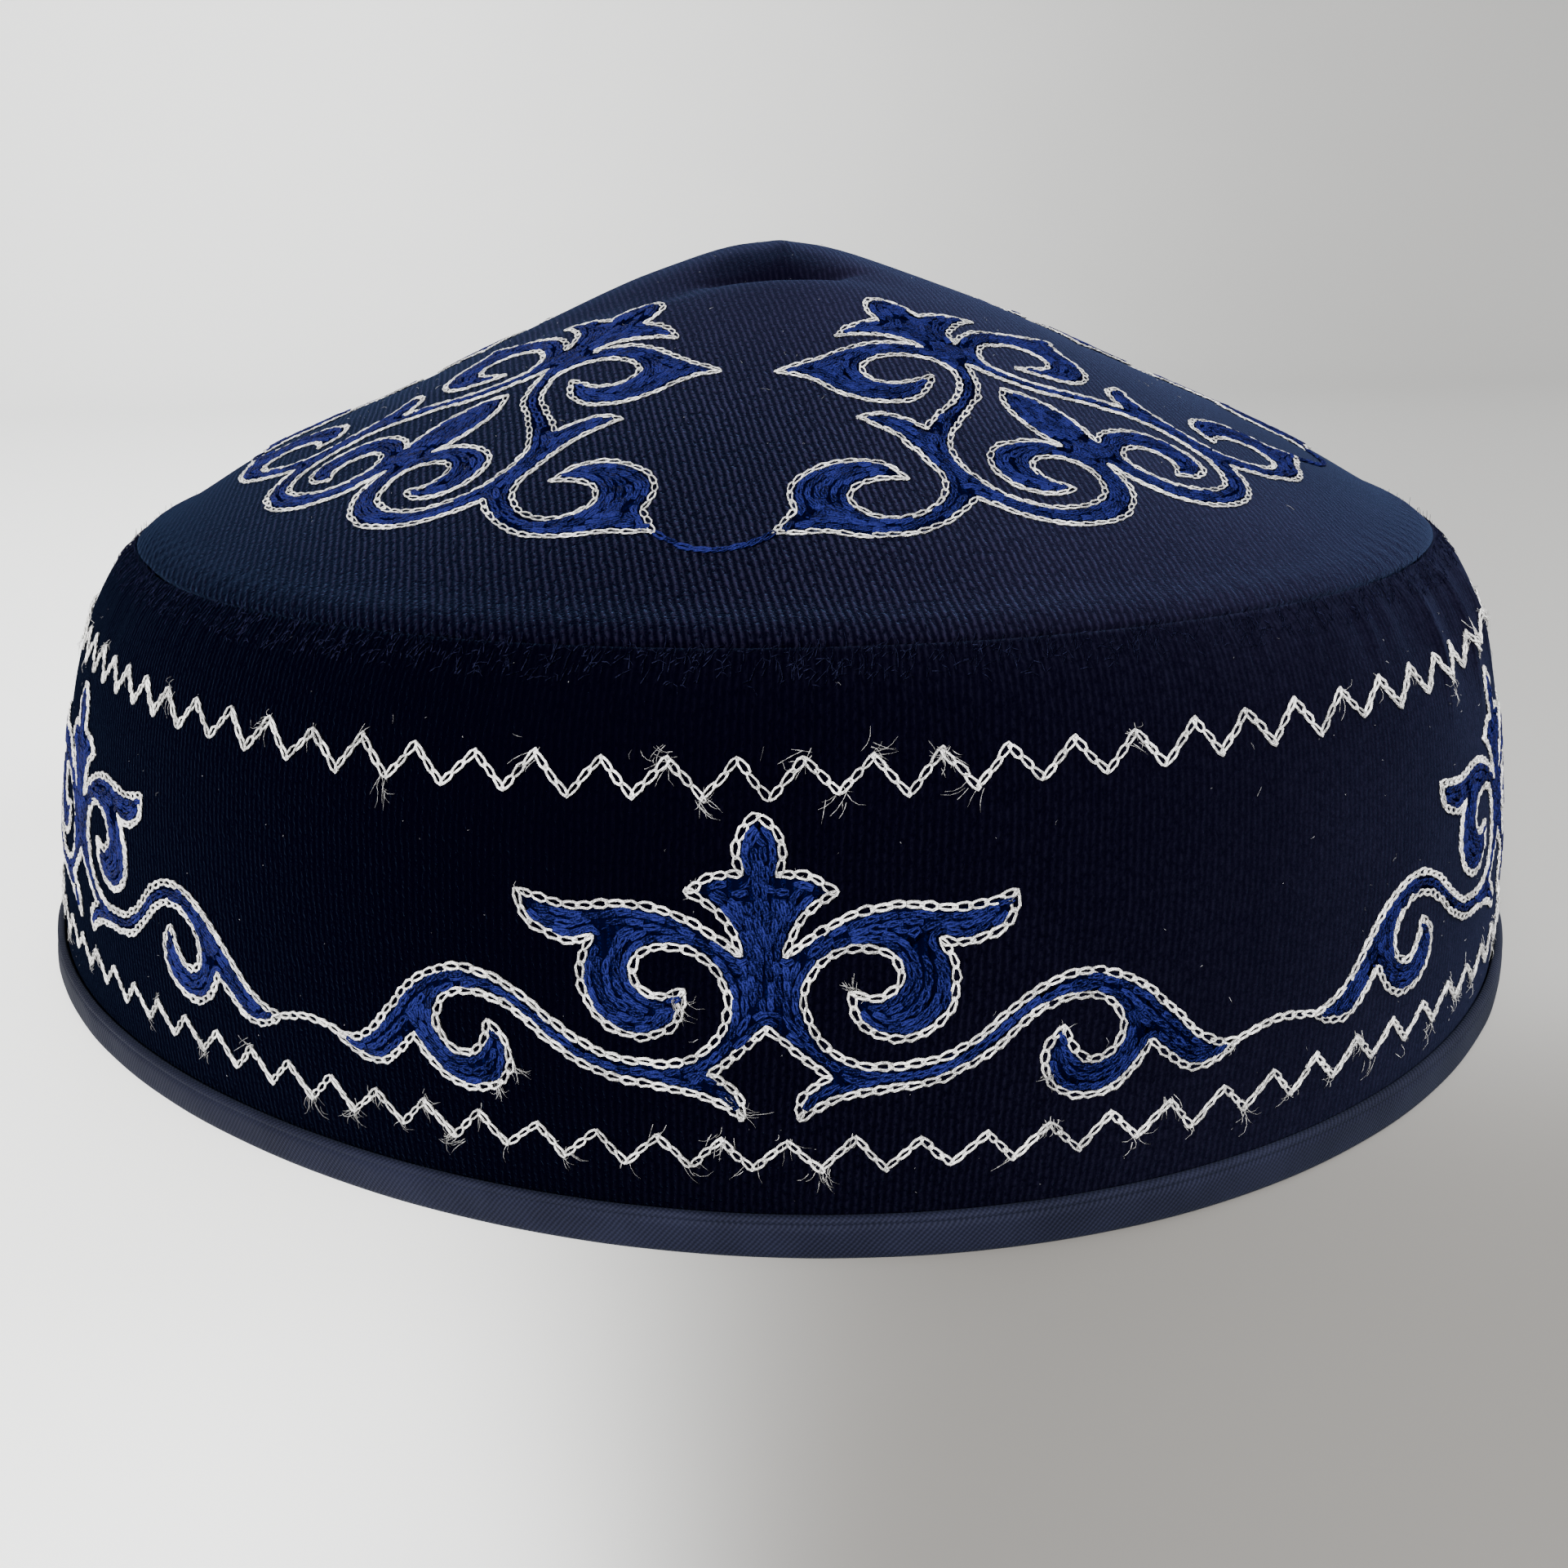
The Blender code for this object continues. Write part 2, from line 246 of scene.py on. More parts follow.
@dataclass(frozen=True)
class CapForm:
    """The cap's sewn shape, with the sizes that the frame's solids have, and its finer relief."""

    wall: float = 2.0 * MM
    tape: float = 1.0 * MM
    gap: float = 0.3 * MM
    seam_height: float = 53.9 * MM
    seam_radius: float = 80.3 * MM
    dip_right: float = 2.2 * MM
    dip_left: float = 0.8 * MM
    seam_slope: float = math.radians(38.0)
    seam_lip: float = 1.4 * MM
    cone_rise: float = 35.0 * MM
    peak_rounding: float = 18.0 * MM
    crown_swell: float = 0.030
    lean: float = 0.056
    shift: tuple[float, float] = (0.0, 0.0)
    band_profile_mm: Table = (
        # height, radius
        (1.7, 90.7), (6.0, 90.8), (11.0, 90.7), (18.0, 90.4), (25.0, 89.8),
        (35.0, 88.5), (43.0, 86.7), (48.5, 84.6), (52.0, 82.4),
    )
    crown_rings: tuple[float, ...] = (
        0.0, 0.06, 0.12, 0.17, 0.215, 0.26, 0.33, 0.45, 0.58, 0.72, 0.85, 0.94,
    )
    rim_waves: tuple[float, ...] = (-0.066, 0.028, 0.022, 0.009)
    seam_waves: tuple[float, ...] = (0.003, 0.003, 0.011, 0.0045)
    gathers: Table = (
        # azimuth, half width in degrees, height, half height in mm, depth in mm
        (45.0, 2.4, 50.0, 5.0, 0.6),
        (52.5, 2.2, 49.0, 7.0, 0.9),
        (60.0, 2.2, 49.0, 7.0, 0.8),
        (38.5, 0.9, 51.5, 3.0, 0.35),
        (41.2, 0.8, 51.5, 3.5, 0.40),
        (66.0, 1.2, 50.5, 5.0, 0.35),
        (48.7, 0.6, 47.5, 5.0, -0.60),
        (56.2, 0.6, 47.0, 6.0, -0.70),
        (63.6, 0.7, 47.0, 6.0, -0.60),
        (-57.0, 1.6, 50.5, 4.0, 0.30),
    )
    folds: Table = (
        # x, y, half length, half width in mm, turn in degrees, depth in mm
        (0.0, -14.5, 10.0, 3.6, 0.0, 1.5),
        (-20.0, -13.5, 13.0, 4.0, -10.0, 0.7),
        (0.6, -15.4, 4.4, 0.9, 0.0, 1.5),
        (6.0, -14.4, 3.6, 0.9, 28.0, 0.7),
        (-5.6, -15.6, 4.6, 1.0, -8.0, 0.6),
        (-13.5, -17.0, 7.0, 1.6, -6.0, 0.35),
        (0.6, -8.0, 1.3, 5.0, 0.0, -0.5),
        (0.6, -12.6, 4.6, 1.6, 0.0, -0.5),
        (0.0, 0.0, 1.6, 1.6, 0.0, -0.12),
        (-64.0, -5.0, 11.0, 30.0, 0.0, -1.15),
        (-13.0, -1.0, 6.0, 8.0, 0.0, 0.45),
        (14.0, -2.0, 9.0, 14.0, 0.0, 0.95),
        (62.0, -6.0, 12.0, 30.0, 0.0, -0.7),
    )
    puckers: int = 170
    pucker_depth: float = 0.34 * MM
    pucker_reach: float = 4.2 * MM
    pucker_slant: float = 260.0
    crown_pucker_share: float = 0.7

    def band_radius(self, height: Array) -> Array:
        """Mean radius of the band's outer side, by a smooth curve through its table.

        Args:
            height: Height of each point.

        Returns:
            The radius at each height.
        """
        rows = self.band_profile_mm + ((self.seam_height / MM, self.seam_radius / MM),)
        knots, radii = (np.array(rows) * MM).T
        return smooth_curve(np.clip(height, knots[0], knots[-1]), knots, radii)

    def outline(self, azimuth: Array, height: Array | float) -> Array:
        """Radius factor of the oval: one plus two and three waves round, blended by height.

        Args:
            azimuth: Azimuth of each point.
            height: Height of each point, or one for all.

        Returns:
            The factor at each point.
        """
        share = np.clip(height / self.seam_height, 0.0, 1.0)
        factor = np.ones_like(azimuth)
        waves = [wave(count * azimuth) for count in (2, 3) for wave in (np.cos, np.sin)]
        for low, high, wave in zip(self.rim_waves, self.seam_waves, waves):
            factor = factor + (low * (1 - share) + high * share) * wave
        return factor

    def dip(self, azimuth: Array, share: Array) -> Array:
        """How far the cloth comes down at the sides: the squared sine, deeper on the right."""
        side = np.sin(azimuth)
        return side**2 * share * (self.dip_right * (1 + side) + self.dip_left * (1 - side)) / 2

    def crown_height(self, radius: Array) -> Array:
        """Height of the crown over a circle: a cone that swells and has a rounded peak.

        Args:
            radius: Radius of each circle before the oval.

        Returns:
            The height before folds and dip.
        """
        share = 1 - radius / self.seam_radius
        cone = self.cone_rise * (share + 4 * self.crown_swell * share * (1 - share) ** 3)
        inside = np.clip(self.peak_rounding - radius, 0.0, None)
        cut = self.cone_rise / self.seam_radius * inside**2 / (2 * self.peak_rounding)
        return self.seam_height + cone - cut

    def seam_point(self, along: float) -> tuple[float, float]:
        """Radius and height of a point of the seam's slanted line, at a distance down the slope."""
        return (
            self.seam_radius + along * math.cos(self.seam_slope),
            self.seam_height - along * math.sin(self.seam_slope),
        )

    def pucker(self, azimuth: Array, away: Array) -> Array:
        """Depth of the small puckers beside the seam.

        Half a cosine of the azimuth, whose pace wanders by two slow sines and which slants with the
        distance from the seam, times a slow swell round the cap and a bell in the distance. At the
        seam's lip it fades to nothing.

        Args:
            azimuth: Azimuth of each point.
            away: Distance of each point from the seam along the cloth.

        Returns:
            How far the cloth is drawn in at each point.
        """
        pace = self.puckers * azimuth + 1.5 * np.sin(9 * azimuth) + 1.2 * np.sin(23 * azimuth + 2)
        wave = 0.5 + 0.5 * np.cos(pace - self.pucker_slant * away)
        swell = 0.6 + 0.4 * np.sin(5 * azimuth + 1.0) * np.sin(11 * azimuth + 0.4)
        depth = self.pucker_depth * wave * swell * bell(away, self.pucker_reach)
        return depth * np.clip(away / self.seam_lip, 0.0, 1.0)

    def wall_place(self, azimuth: Array, radius: Array, height: Array) -> Array:
        """Place of a point of the band or the binding.

        The mean radius at the height is made oval, each gather is a bell of azimuth and height that
        draws the cloth in, and the whole leans to one side and dips.

        Args:
            azimuth: Azimuth of each point.
            radius: Radius of each point before the oval.
            height: Height of each point before the dip.

        Returns:
            Points with x, y and z along the last axis.
        """
        radius = radius + self.band_radius(height) * (self.outline(azimuth, height) - 1)
        away = self.seam_height - height
        edge = np.clip(away / self.seam_lip, 0.0, 1.0)
        for centre, half_width, middle, half_height, depth in self.gathers:
            across = bell(azimuth - math.radians(centre), math.radians(half_width))
            up = bell(height - middle * MM, half_height * MM)
            radius = radius - depth * MM * across * up * edge
        radius = radius - self.pucker(azimuth, away)
        x = radius * np.sin(azimuth) + self.lean * height + self.shift[0]
        y = -radius * np.cos(azimuth) + self.shift[1]
        return np.stack([x, y, height - self.dip(azimuth, height / self.seam_height)], axis=-1)

    def crown_place(self, azimuth: Array, radius: Array, height: Array) -> Array:
        """Place of a point of the crown.

        The circle is made oval, each fold is a turned bell that lowers the cloth, and the puckers
        lower it beside the seam.

        Args:
            azimuth: Azimuth of each point.
            radius: Radius of each point before the oval.
            height: Height of each point before the folds.

        Returns:
            Points with x, y and z along the last axis.
        """
        reach = radius * self.outline(azimuth, self.seam_height)
        x, y = reach * np.sin(azimuth), -reach * np.cos(azimuth)
        for centre_x, centre_y, half_length, half_width, turn, depth in self.folds:
            cos, sin = math.cos(math.radians(turn)), math.sin(math.radians(turn))
            dx, dy = x - centre_x * MM, y - centre_y * MM
            along = bell(dx * cos + dy * sin, half_length * MM)
            height = height - depth * MM * along * bell(dy * cos - dx * sin, half_width * MM)
        height = height - self.crown_pucker_share * self.pucker(azimuth, self.seam_radius - radius)
        height = height - self.dip(azimuth, (radius / self.seam_radius) ** 2)
        x = x + self.lean * self.seam_height + self.shift[0]
        return np.stack([x, y + self.shift[1], height], axis=-1)

    def band_point(self, azimuth: Array, height: Array) -> Array:
        """Point of the band's outer side."""
        return self.wall_place(azimuth, self.band_radius(height), height)

    def crown_point(self, x: Array, y: Array) -> Array:
        """Point of the crown over a place in plan, measured from the peak's axis.

        Args:
            x: The way to the right.
            y: The way back.

        Returns:
            Points with x, y and z along the last axis.
        """
        azimuth = np.arctan2(x, -y)
        radius = np.hypot(x, y) / self.outline(azimuth, self.seam_height)
        return self.crown_place(azimuth, radius, self.crown_height(radius))

    def set_on_frame(self) -> "CapForm":
        """The same form, moved so that its binding is where the frame's binding is.

        The frame's lowest corner is set against the outer side at the frame's own columns.

        Returns:
            The moved form.
        """
        azimuth = np.radians(np.arange(0.0, 360.0, 3.75))[None, :]
        azimuth, height = np.broadcast_arrays(azimuth, np.array([[0.7], [4.7]]) * MM)
        face = self.band_profile_mm[0][1] * MM + self.gap + self.tape
        low = self.wall_place(azimuth, np.full_like(azimuth, face), height).min(axis=(0, 1))
        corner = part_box("binding")[0]
        return CapForm(shift=(float(corner[0]) - float(low[0]), float(corner[1]) - float(low[1])))


class Value:
    """One number that varies over a surface. Arithmetic on it adds Math nodes."""

    def __init__(self, bench: "Bench", socket: bpy.types.NodeSocket) -> None:
        """Wrap a socket of a material's node tree."""
        self.bench = bench
        self.socket = socket

    def __add__(self, other: "Value | float") -> "Value":
        """This plus another."""
        return self.bench.math("ADD", self, other)

    def __sub__(self, other: "Value | float") -> "Value":
        """This less another."""
        return self.bench.math("SUBTRACT", self, other)

    def __rsub__(self, other: float) -> "Value":
        """A number less this."""
        return self.bench.math("SUBTRACT", other, self)

    def __mul__(self, other: "Value | float") -> "Value":
        """This times another."""
        return self.bench.math("MULTIPLY", self, other)

    def __pow__(self, other: float) -> "Value":
        """This to a power."""
        return self.bench.math("POWER", self, other)

    __radd__ = __add__
    __rmul__ = __mul__

    def wave(self, length: float) -> "Value":
        """A sine of this value between 0 and 1, with the given wave length."""
        return self.bench.math("SINE", self * (TURN / length)) * 0.5 + 0.5

    def between(self, low: float, high: float) -> "Value":
        """This value spread by a smooth step from 0 to 1, and held there.

        Args:
            low: What gives 0.
            high: What gives 1.

        Returns:
            The spread value.
        """
        settings = {"interpolation_type": "SMOOTHSTEP", "clamp": True}
        inputs = {"Value": self, "From Min": low, "From Max": high}
        return self.bench.value("ShaderNodeMapRange", settings, inputs)


class Bench:
    """The node tree of one material, with the few steps that finishes are made of."""

    def __init__(self, name: str) -> None:
        """Start a material with a Principled shader.

        Args:
            name: The material's name.
        """
        self.material = bpy.data.materials.new(name)
        self.material.use_nodes = True
        self.tree = self.material.node_tree
        self.shader = self.tree.nodes["Principled BSDF"]

    def node(
        self, kind: str, settings: Mapping[str, Any], inputs: Mapping[Any, Any]
    ) -> bpy.types.Node:
        """Add a node.

        Args:
            kind: Blender's name of the node type.
            settings: The node's own settings, which are set first.
            inputs: Values or links of its sockets, by name or place.

        Returns:
            The node.
        """
        made = self.tree.nodes.new(kind)
        for name, setting in settings.items():
            setattr(made, name, setting)
        for name, given in inputs.items():
            self.feed(made.inputs[name], given)
        return made

    def value(
        self, kind: str, settings: Mapping[str, Any], inputs: Mapping[Any, Any], output: Any = 0
    ) -> Value:
        """One output of a new node, by name or place, with the other arguments of node."""
        return Value(self, self.node(kind, settings, inputs).outputs[output])

    def feed(self, socket: bpy.types.NodeSocket, given: Any) -> None:
        """Link a socket to a value or another socket, or set its number or colour.

        Args:
            socket: The socket.
            given: A value, a socket, a number or a colour.
        """
        given = given.socket if isinstance(given, Value) else given
        if isinstance(given, bpy.types.NodeSocket):
            self.tree.links.new(given, socket)
        elif socket.type == "RGBA":
            socket.default_value = (*given, 1.0)
        else:
            socket.default_value = given

    def math(self, operation: str, *values: "Value | float") -> Value:
        """A Math node on values and numbers."""
        return self.value("ShaderNodeMath", {"operation": operation}, dict(enumerate(values)))

    def point(self) -> bpy.types.NodeSocket:
        """The surface point in the object's own coordinates."""
        return self.node("ShaderNodeTexCoord", {}, {}).outputs["Object"]

    def flat_point(self) -> bpy.types.NodeSocket:
        """The piece's own flat coordinates, in metres along and across the cloth."""
        return self.node("ShaderNodeUVMap", {"uv_map": "flat"}, {}).outputs["UV"]

    def facing(self) -> Value:
        """How far the surface turns away from the look, from 0 to 1."""
        return self.value("ShaderNodeLayerWeight", {}, {"Blend": 0.5}, "Facing")

    def tone(self) -> Value:
        """The number that each stitch or fibre carries."""
        return self.value("ShaderNodeAttribute", {"attribute_name": "tone"}, {}, "Fac")

    def parts(self, vector: bpy.types.NodeSocket) -> tuple[Value, Value, Value]:
        """The three numbers of a vector."""
        split = self.node("ShaderNodeSeparateXYZ", {}, {"Vector": vector})
        return tuple(Value(self, output) for output in split.outputs)

    def vector(self, *values: "Value | float") -> bpy.types.NodeSocket:
        """A vector of three values."""
        return self.node("ShaderNodeCombineXYZ", {}, dict(enumerate(values))).outputs[0]

    def noise(self, vector: bpy.types.NodeSocket, size: float, detail: float = 2.0) -> Value:
        """Soft noise between 0 and 1 whose patches have about the given size."""
        inputs = {"Vector": vector, "Scale": 1.0 / size, "Detail": detail, "Roughness": 0.55}
        return self.value("ShaderNodeTexNoise", {}, inputs, "Fac")

    def blend(self, share: Value, low: Colour, high: Colour) -> bpy.types.NodeSocket:
        """A colour between two, by a share from 0 to 1."""
        settings = {"data_type": "RGBA", "clamp_factor": True}
        return self.node("ShaderNodeMix", settings, {0: share, 6: low, 7: high}).outputs[2]

    def bump(self, height: Value, depth: float, strength: float) -> bpy.types.NodeSocket:
        """A normal that follows a height from 0 to 1, times a depth."""
        inputs = {"Strength": strength, "Distance": depth, "Height": height}
        return self.node("ShaderNodeBump", {}, inputs).outputs[0]

    def dress(self, **inputs: Any) -> Material:
        """Set the shader's sockets.

        Args:
            inputs: What each is given, named with underscores for spaces.

        Returns:
            The material.
        """
        for name, given in inputs.items():
            socket = name.replace("_", " ").title().replace("Ior", "IOR")
            self.feed(self.shader.inputs[socket], given)
        return self.material


class RibCourse(Enum):
    """How the velvet's ribs run."""

    UP_THE_BAND = "along the flat chart's height"
    FRONT_TO_BACK = "straight over the crown"


@dataclass(frozen=True)
class VelvetFinish:
    """Ribbed cotton velvet whose colour is painted lighter at a grazing look, a painted sheen.

    A span is where a change begins and ends, along x for left and right, and along z for the seam,
    the edge beside it and the peak. Noise sizes are the sizes of the patches.
    """

    name: str
    course: RibCourse
    deep: Colour = (0.0002, 0.0001, 0.0012)
    bright: Colour = (0.0190, 0.0180, 0.0420)
    # head_on, grazing and rim_light are painted sheen: how much lighter the colour is at a head-on
    # look, at a grazing look and at the rim
    head_on: float = 0.13
    grazing: float = 0.80
    rim_light: float = 0.9
    rib_pitch: float = 0.70 * MM
    rib_turn: float = math.radians(11.0)
    rib_share: float = 0.75
    rib_power: float = 1.2
    rib_mean: float = 0.28
    pile_size: float = 0.22 * MM
    grain_size: float = 0.9 * MM
    nap_size: float = 28.0 * MM
    # painted shade: the velvet's colour is darker on the left side, away from the light
    left_shade_share: float = 0.03
    left_shade_span: Span = (-0.030, 0.055)
    even_right: float = 0.75
    right_span: Span = (-0.010, 0.055)
    even_high: float = 0.6
    peak_span: Span = (0.066, 0.082)
    # painted shade along the seam, between the crown and the band
    seam_shade_share: float = 1.0
    seam_shade_span: Span = (0.050, 0.080)
    # deeper painted shade on the left edge beside the seam
    edge_shade: float = 0.0
    edge_shade_span: Span = (0.0515, 0.0590)
    # painted shade in the crease under the peak, an oval that fades from its middle
    crease_shade: float = 0.0
    crease_shade_at: tuple[float, float] = (3.0 * MM, -11.0 * MM)
    crease_shade_size: tuple[float, float] = (11.0 * MM, 5.5 * MM)
    sheen: float = 0.04
    sheen_roughness: float = 0.35
    sheen_tint: Colour = (0.09, 0.15, 0.32)

    def ribs(
        self, bench: Bench, point: bpy.types.NodeSocket, x: Value, y: Value, z: Value
    ) -> Value:
        """The broken rib wave, evened out to its mean towards the right and the peak.

        The wave runs across the ribs, whose place wanders by two noises, and a noise that is drawn
        out along them breaks it.

        Args:
            bench: The material's bench.
            point: The surface point.
            x: The point's way to the right.
            y: Its way back.
            z: Its height.

        Returns:
            The rib's height and lightness, from 0 to 1.
        """
        if self.course is RibCourse.UP_THE_BAND:
            across, along, _ = bench.parts(bench.flat_point())
        else:
            across = x * math.cos(self.rib_turn) + y * math.sin(self.rib_turn)
            along = y * math.cos(self.rib_turn) - x * math.sin(self.rib_turn)
        wander = bench.noise(point, 6.0 * MM) * (0.5 * MM)
        wander = wander + bench.noise(point, 1.6 * MM) * (0.24 * MM)
        streak = bench.noise(bench.vector(across, along * 0.55, 0.0), 0.32 * MM, 2.0)
        rib = (across + wander).wave(self.rib_pitch) ** self.rib_power * streak.between(0.32, 0.62)
        ribbed_right = 1.0 - x.between(*self.right_span) * self.even_right
        even = 1.0 - ribbed_right * (1.0 - z.between(*self.peak_span) * self.even_high)
        return rib * (1.0 - even) + even * self.rib_mean

    def light_share(self, share: Value, x: Value, y: Value, z: Value) -> Value:
        """A share of the bright colour, with painted shade on the left, along the seam and in the
        crease.

        The crease's painted shade is an oval that fades from its middle to its edge.

        Args:
            share: The share before.
            x: The point's way to the right.
            y: Its way back.
            z: Its height.

        Returns:
            The darkened share.
        """
        # painted shade on the left side
        right = x.between(*self.left_shade_span)
        share = share * (right * (1.0 - self.left_shade_share) + self.left_shade_share)
        # painted shade along the seam and on the left edge beside it
        share = share * (z.between(*self.seam_shade_span) * (1.0 - self.seam_shade_share) + self.seam_shade_share)
        shaded = (1.0 - right) * (1.0 - z.between(*self.edge_shade_span))
        share = share * (1.0 - shaded * self.edge_shade)
        # painted shade in the crease under the peak
        aside = (x - self.crease_shade_at[0]) * (1.0 / self.crease_shade_size[0])
        back = (y - self.crease_shade_at[1]) * (1.0 / self.crease_shade_size[1])
        patch = 1.0 - (aside * aside + back * back).between(0.0, 1.0)
        return share * (1.0 - patch * self.crease_shade)

    def material(self) -> Material:
        """Make the velvet.

        The colour lies between a deep and a bright navy by the ribs, a fine pile noise and broad
        patches of turned nap, and is painted lighter at a grazing look, a painted sheen. The same
        ribs and pile raise the surface.

        Returns:
            The material.
        """
        bench = Bench(self.name)
        point = bench.point()
        x, y, z = bench.parts(point)
        rib = self.ribs(bench, point, x, y, z)
        pile = bench.noise(point, self.pile_size, 3.0)
        grain = bench.noise(point, self.grain_size, 2.0)
        nap = bench.noise(point, self.nap_size, 3.0)
        rest = pile.between(0.4, 0.75) * 0.6 + grain.between(0.35, 0.75) * 0.4
        share = rib * self.rib_share + rest * (1.0 - self.rib_share)
        share = share * (nap.between(0.25, 0.75) * 0.4 + 0.7)
        facing = bench.facing()
        # painted sheen and painted rim light: the colour grows lighter as the surface turns away
        # from the look
        share = share * (facing * self.grazing + facing**6.0 * self.rim_light + self.head_on)
        return bench.dress(
            base_color=bench.blend(self.light_share(share, x, y, z), self.deep, self.bright),
            roughness=0.95 - pile * 0.15,
            normal=bench.bump(rib * 0.9 + pile * 0.8 + grain * 0.35, 0.18 * MM, 0.85),
            specular_ior_level=0.0,
            sheen_weight=self.sheen,
            sheen_roughness=self.sheen_roughness,
            sheen_tint=self.sheen_tint,
        )


@dataclass(frozen=True)
class TwillFinish:
    """Slate navy twill tape with fine diagonal lines."""

    name: str = "slate_navy_twill"
    deep: Colour = (0.0022, 0.0025, 0.0058)
    bright: Colour = (0.0094, 0.0105, 0.0225)
    line_pitch: float = 0.42 * MM
    yarn_pitch: float = 0.34 * MM

    def material(self) -> Material:
        """Make the twill: a slanted wave cut by a wave along the tape, uneven yarn, painted shade
        on the left.

        Returns:
            The material.
        """
        bench = Bench(self.name)
        along, across, _ = bench.parts(bench.flat_point())
        point = bench.point()
        uneven = bench.noise(point, 1.6 * MM) * (0.18 * MM)
        line = (along * 0.80 + across * 0.60 + uneven).wave(self.line_pitch)
        yarn = (along * 0.60 - across * 0.80 + uneven).wave(self.yarn_pitch)
        patch = bench.noise(point, 9.0 * MM, 3.0)
        share = line * 0.5 + yarn * 0.2 + patch.between(0.3, 0.7) * 0.3
        # painted shade: the tape grows darker towards the left
        share = share * (bench.parts(point)[0].between(-0.09, 0.0) * 0.6 + 0.4)
        return bench.dress(
            base_color=bench.blend(share, self.deep, self.bright),
            roughness=0.78 - line * 0.14,
            normal=bench.bump(line * 0.8 + yarn * 0.35, 0.10 * MM, 0.7),
            specular_ior_level=0.04,
            sheen_weight=0.015,
            sheen_roughness=0.4,
            sheen_tint=(0.45, 0.58, 0.90),
        )


@dataclass(frozen=True)
class ThreadFinish:
    """Silky two-ply embroidery thread, whose stitches differ a little in tone."""

    name: str
    dark: Colour
    light: Colour
    roughness: float = 0.9
    sheen: float = 0.0
    gloss: float = 0.0
    metal: float = 0.0
    plies: float = 3.0
    lay: float = 0.9 * MM

    def material(self) -> Material:
        """Make the thread: tone by stitch and by fibre, with the plies' twist raised.

        Returns:
            The material.
        """
        bench = Bench(self.name)
        along, around, _ = bench.parts(bench.flat_point())
        fibre = bench.noise(bench.point(), 0.16 * MM, 2.0)
        twist = (around * self.plies + along * (1.0 / self.lay)).wave(1.0)
        share = bench.tone() * 0.35 + fibre.between(0.35, 0.65) * 0.35 + twist * 0.30
        return bench.dress(
            base_color=bench.blend(share.between(0.18, 0.82), self.dark, self.light),
            roughness=self.roughness + fibre * 0.15,
            normal=bench.bump(twist * 0.9 + fibre * 0.6, 0.10 * MM, 0.9),
            specular_ior_level=self.gloss,
            metallic=self.metal,
            sheen_weight=self.sheen,
            sheen_roughness=0.4,
        )


@dataclass(frozen=True)
class PlasterFinish:
    """Pale matt surface of the floor and backdrop, with painted shade towards the right."""

    name: str = "pale_floor"
    shaded: Colour = (0.118, 0.113, 0.106)
    lit: Colour = (0.860, 0.866, 0.857)
    darkest: float = 0.135

    def material(self) -> Material:
        """Make the floor: a pale grey with painted shade that falls evenly to the right.

        The fall is the way to the right over the distance, from nothing at the left edge of the
        look to a half at the right, and a patch of painted shade near by on the right adds the
        other half. The tone is the darkest share raised to that fall.

        Returns:
            The material.
        """
        bench = Bench(self.name)
        point = bench.point()
        x, y, _ = bench.parts(point)
        cloud = bench.noise(point, 0.30, 3.0)
        # painted shade: the floor darkens to the right and in a patch near by on the right
        slant = bench.math("DIVIDE", x, bench.math("MAXIMUM", y + 0.15, 0.03)) + cloud * 0.08
        dim = x.between(-0.055, 0.035) * (1.0 - y.between(-0.11, -0.03))
        fall = slant.between(-0.55, 0.62) * 0.5 + dim * 0.5
        share = bench.math("POWER", self.darkest, fall).between(self.darkest, 1.0)
        grain = bench.noise(point, 2.5 * MM, 2.0)
        return bench.dress(
            base_color=bench.blend(share, self.shaded, self.lit),
            roughness=0.82 + grain * 0.1,
            normal=bench.bump(grain, 0.05 * MM, 0.2),
            specular_ior_level=0.25,
        )


@dataclass
class MeshParts:
    """Arrays of one piece's mesh."""

    points: Array
    faces: list[Array]
    flat: list[Array]
    tone: Array | None = None

    def piece(self, name: str, material: Material) -> Piece:
        """Make the object.

        Args:
            name: The piece's name.
            material: Its finish.

        Returns:
            The linked object, smooth shaded, with its flat coordinates and tones.
        """
        mesh = bpy.data.meshes.new(name)
        corners = np.concatenate([face.ravel() for face in self.faces]).astype(np.int32)
        sizes = np.concatenate([np.full(len(face), face.shape[1]) for face in self.faces])
        mesh.vertices.add(len(self.points))
        mesh.vertices.foreach_set("co", self.points.astype(np.float32).ravel())
        mesh.loops.add(len(corners))
        mesh.loops.foreach_set("vertex_index", corners)
        mesh.polygons.add(len(sizes))
        mesh.polygons.foreach_set("loop_start", (np.cumsum(sizes) - sizes).astype(np.int32))
        mesh.update(calc_edges=True)
        flat = np.concatenate([part.reshape(-1, 2) for part in self.flat]).astype(np.float32)
        mesh.uv_layers.new(name="flat").uv.foreach_set("vector", flat.ravel())
        if self.tone is not None:
            carried = mesh.attributes.new("tone", "FLOAT", "POINT")
            carried.data.foreach_set("value", self.tone.astype(np.float32))
        mesh.shade_smooth()
        mesh.validate()
        mesh.materials.append(material)
        made = bpy.data.objects.new(name, mesh)
        bpy.context.scene.collection.objects.link(made)
        return made


def seat(piece: Piece) -> None:
    """Let a piece ride with the cap, and report it.

    Args:
        piece: The piece.
    """
    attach(piece, "root")
    log.info("%s: %d faces", piece.name, len(piece.data.polygons))


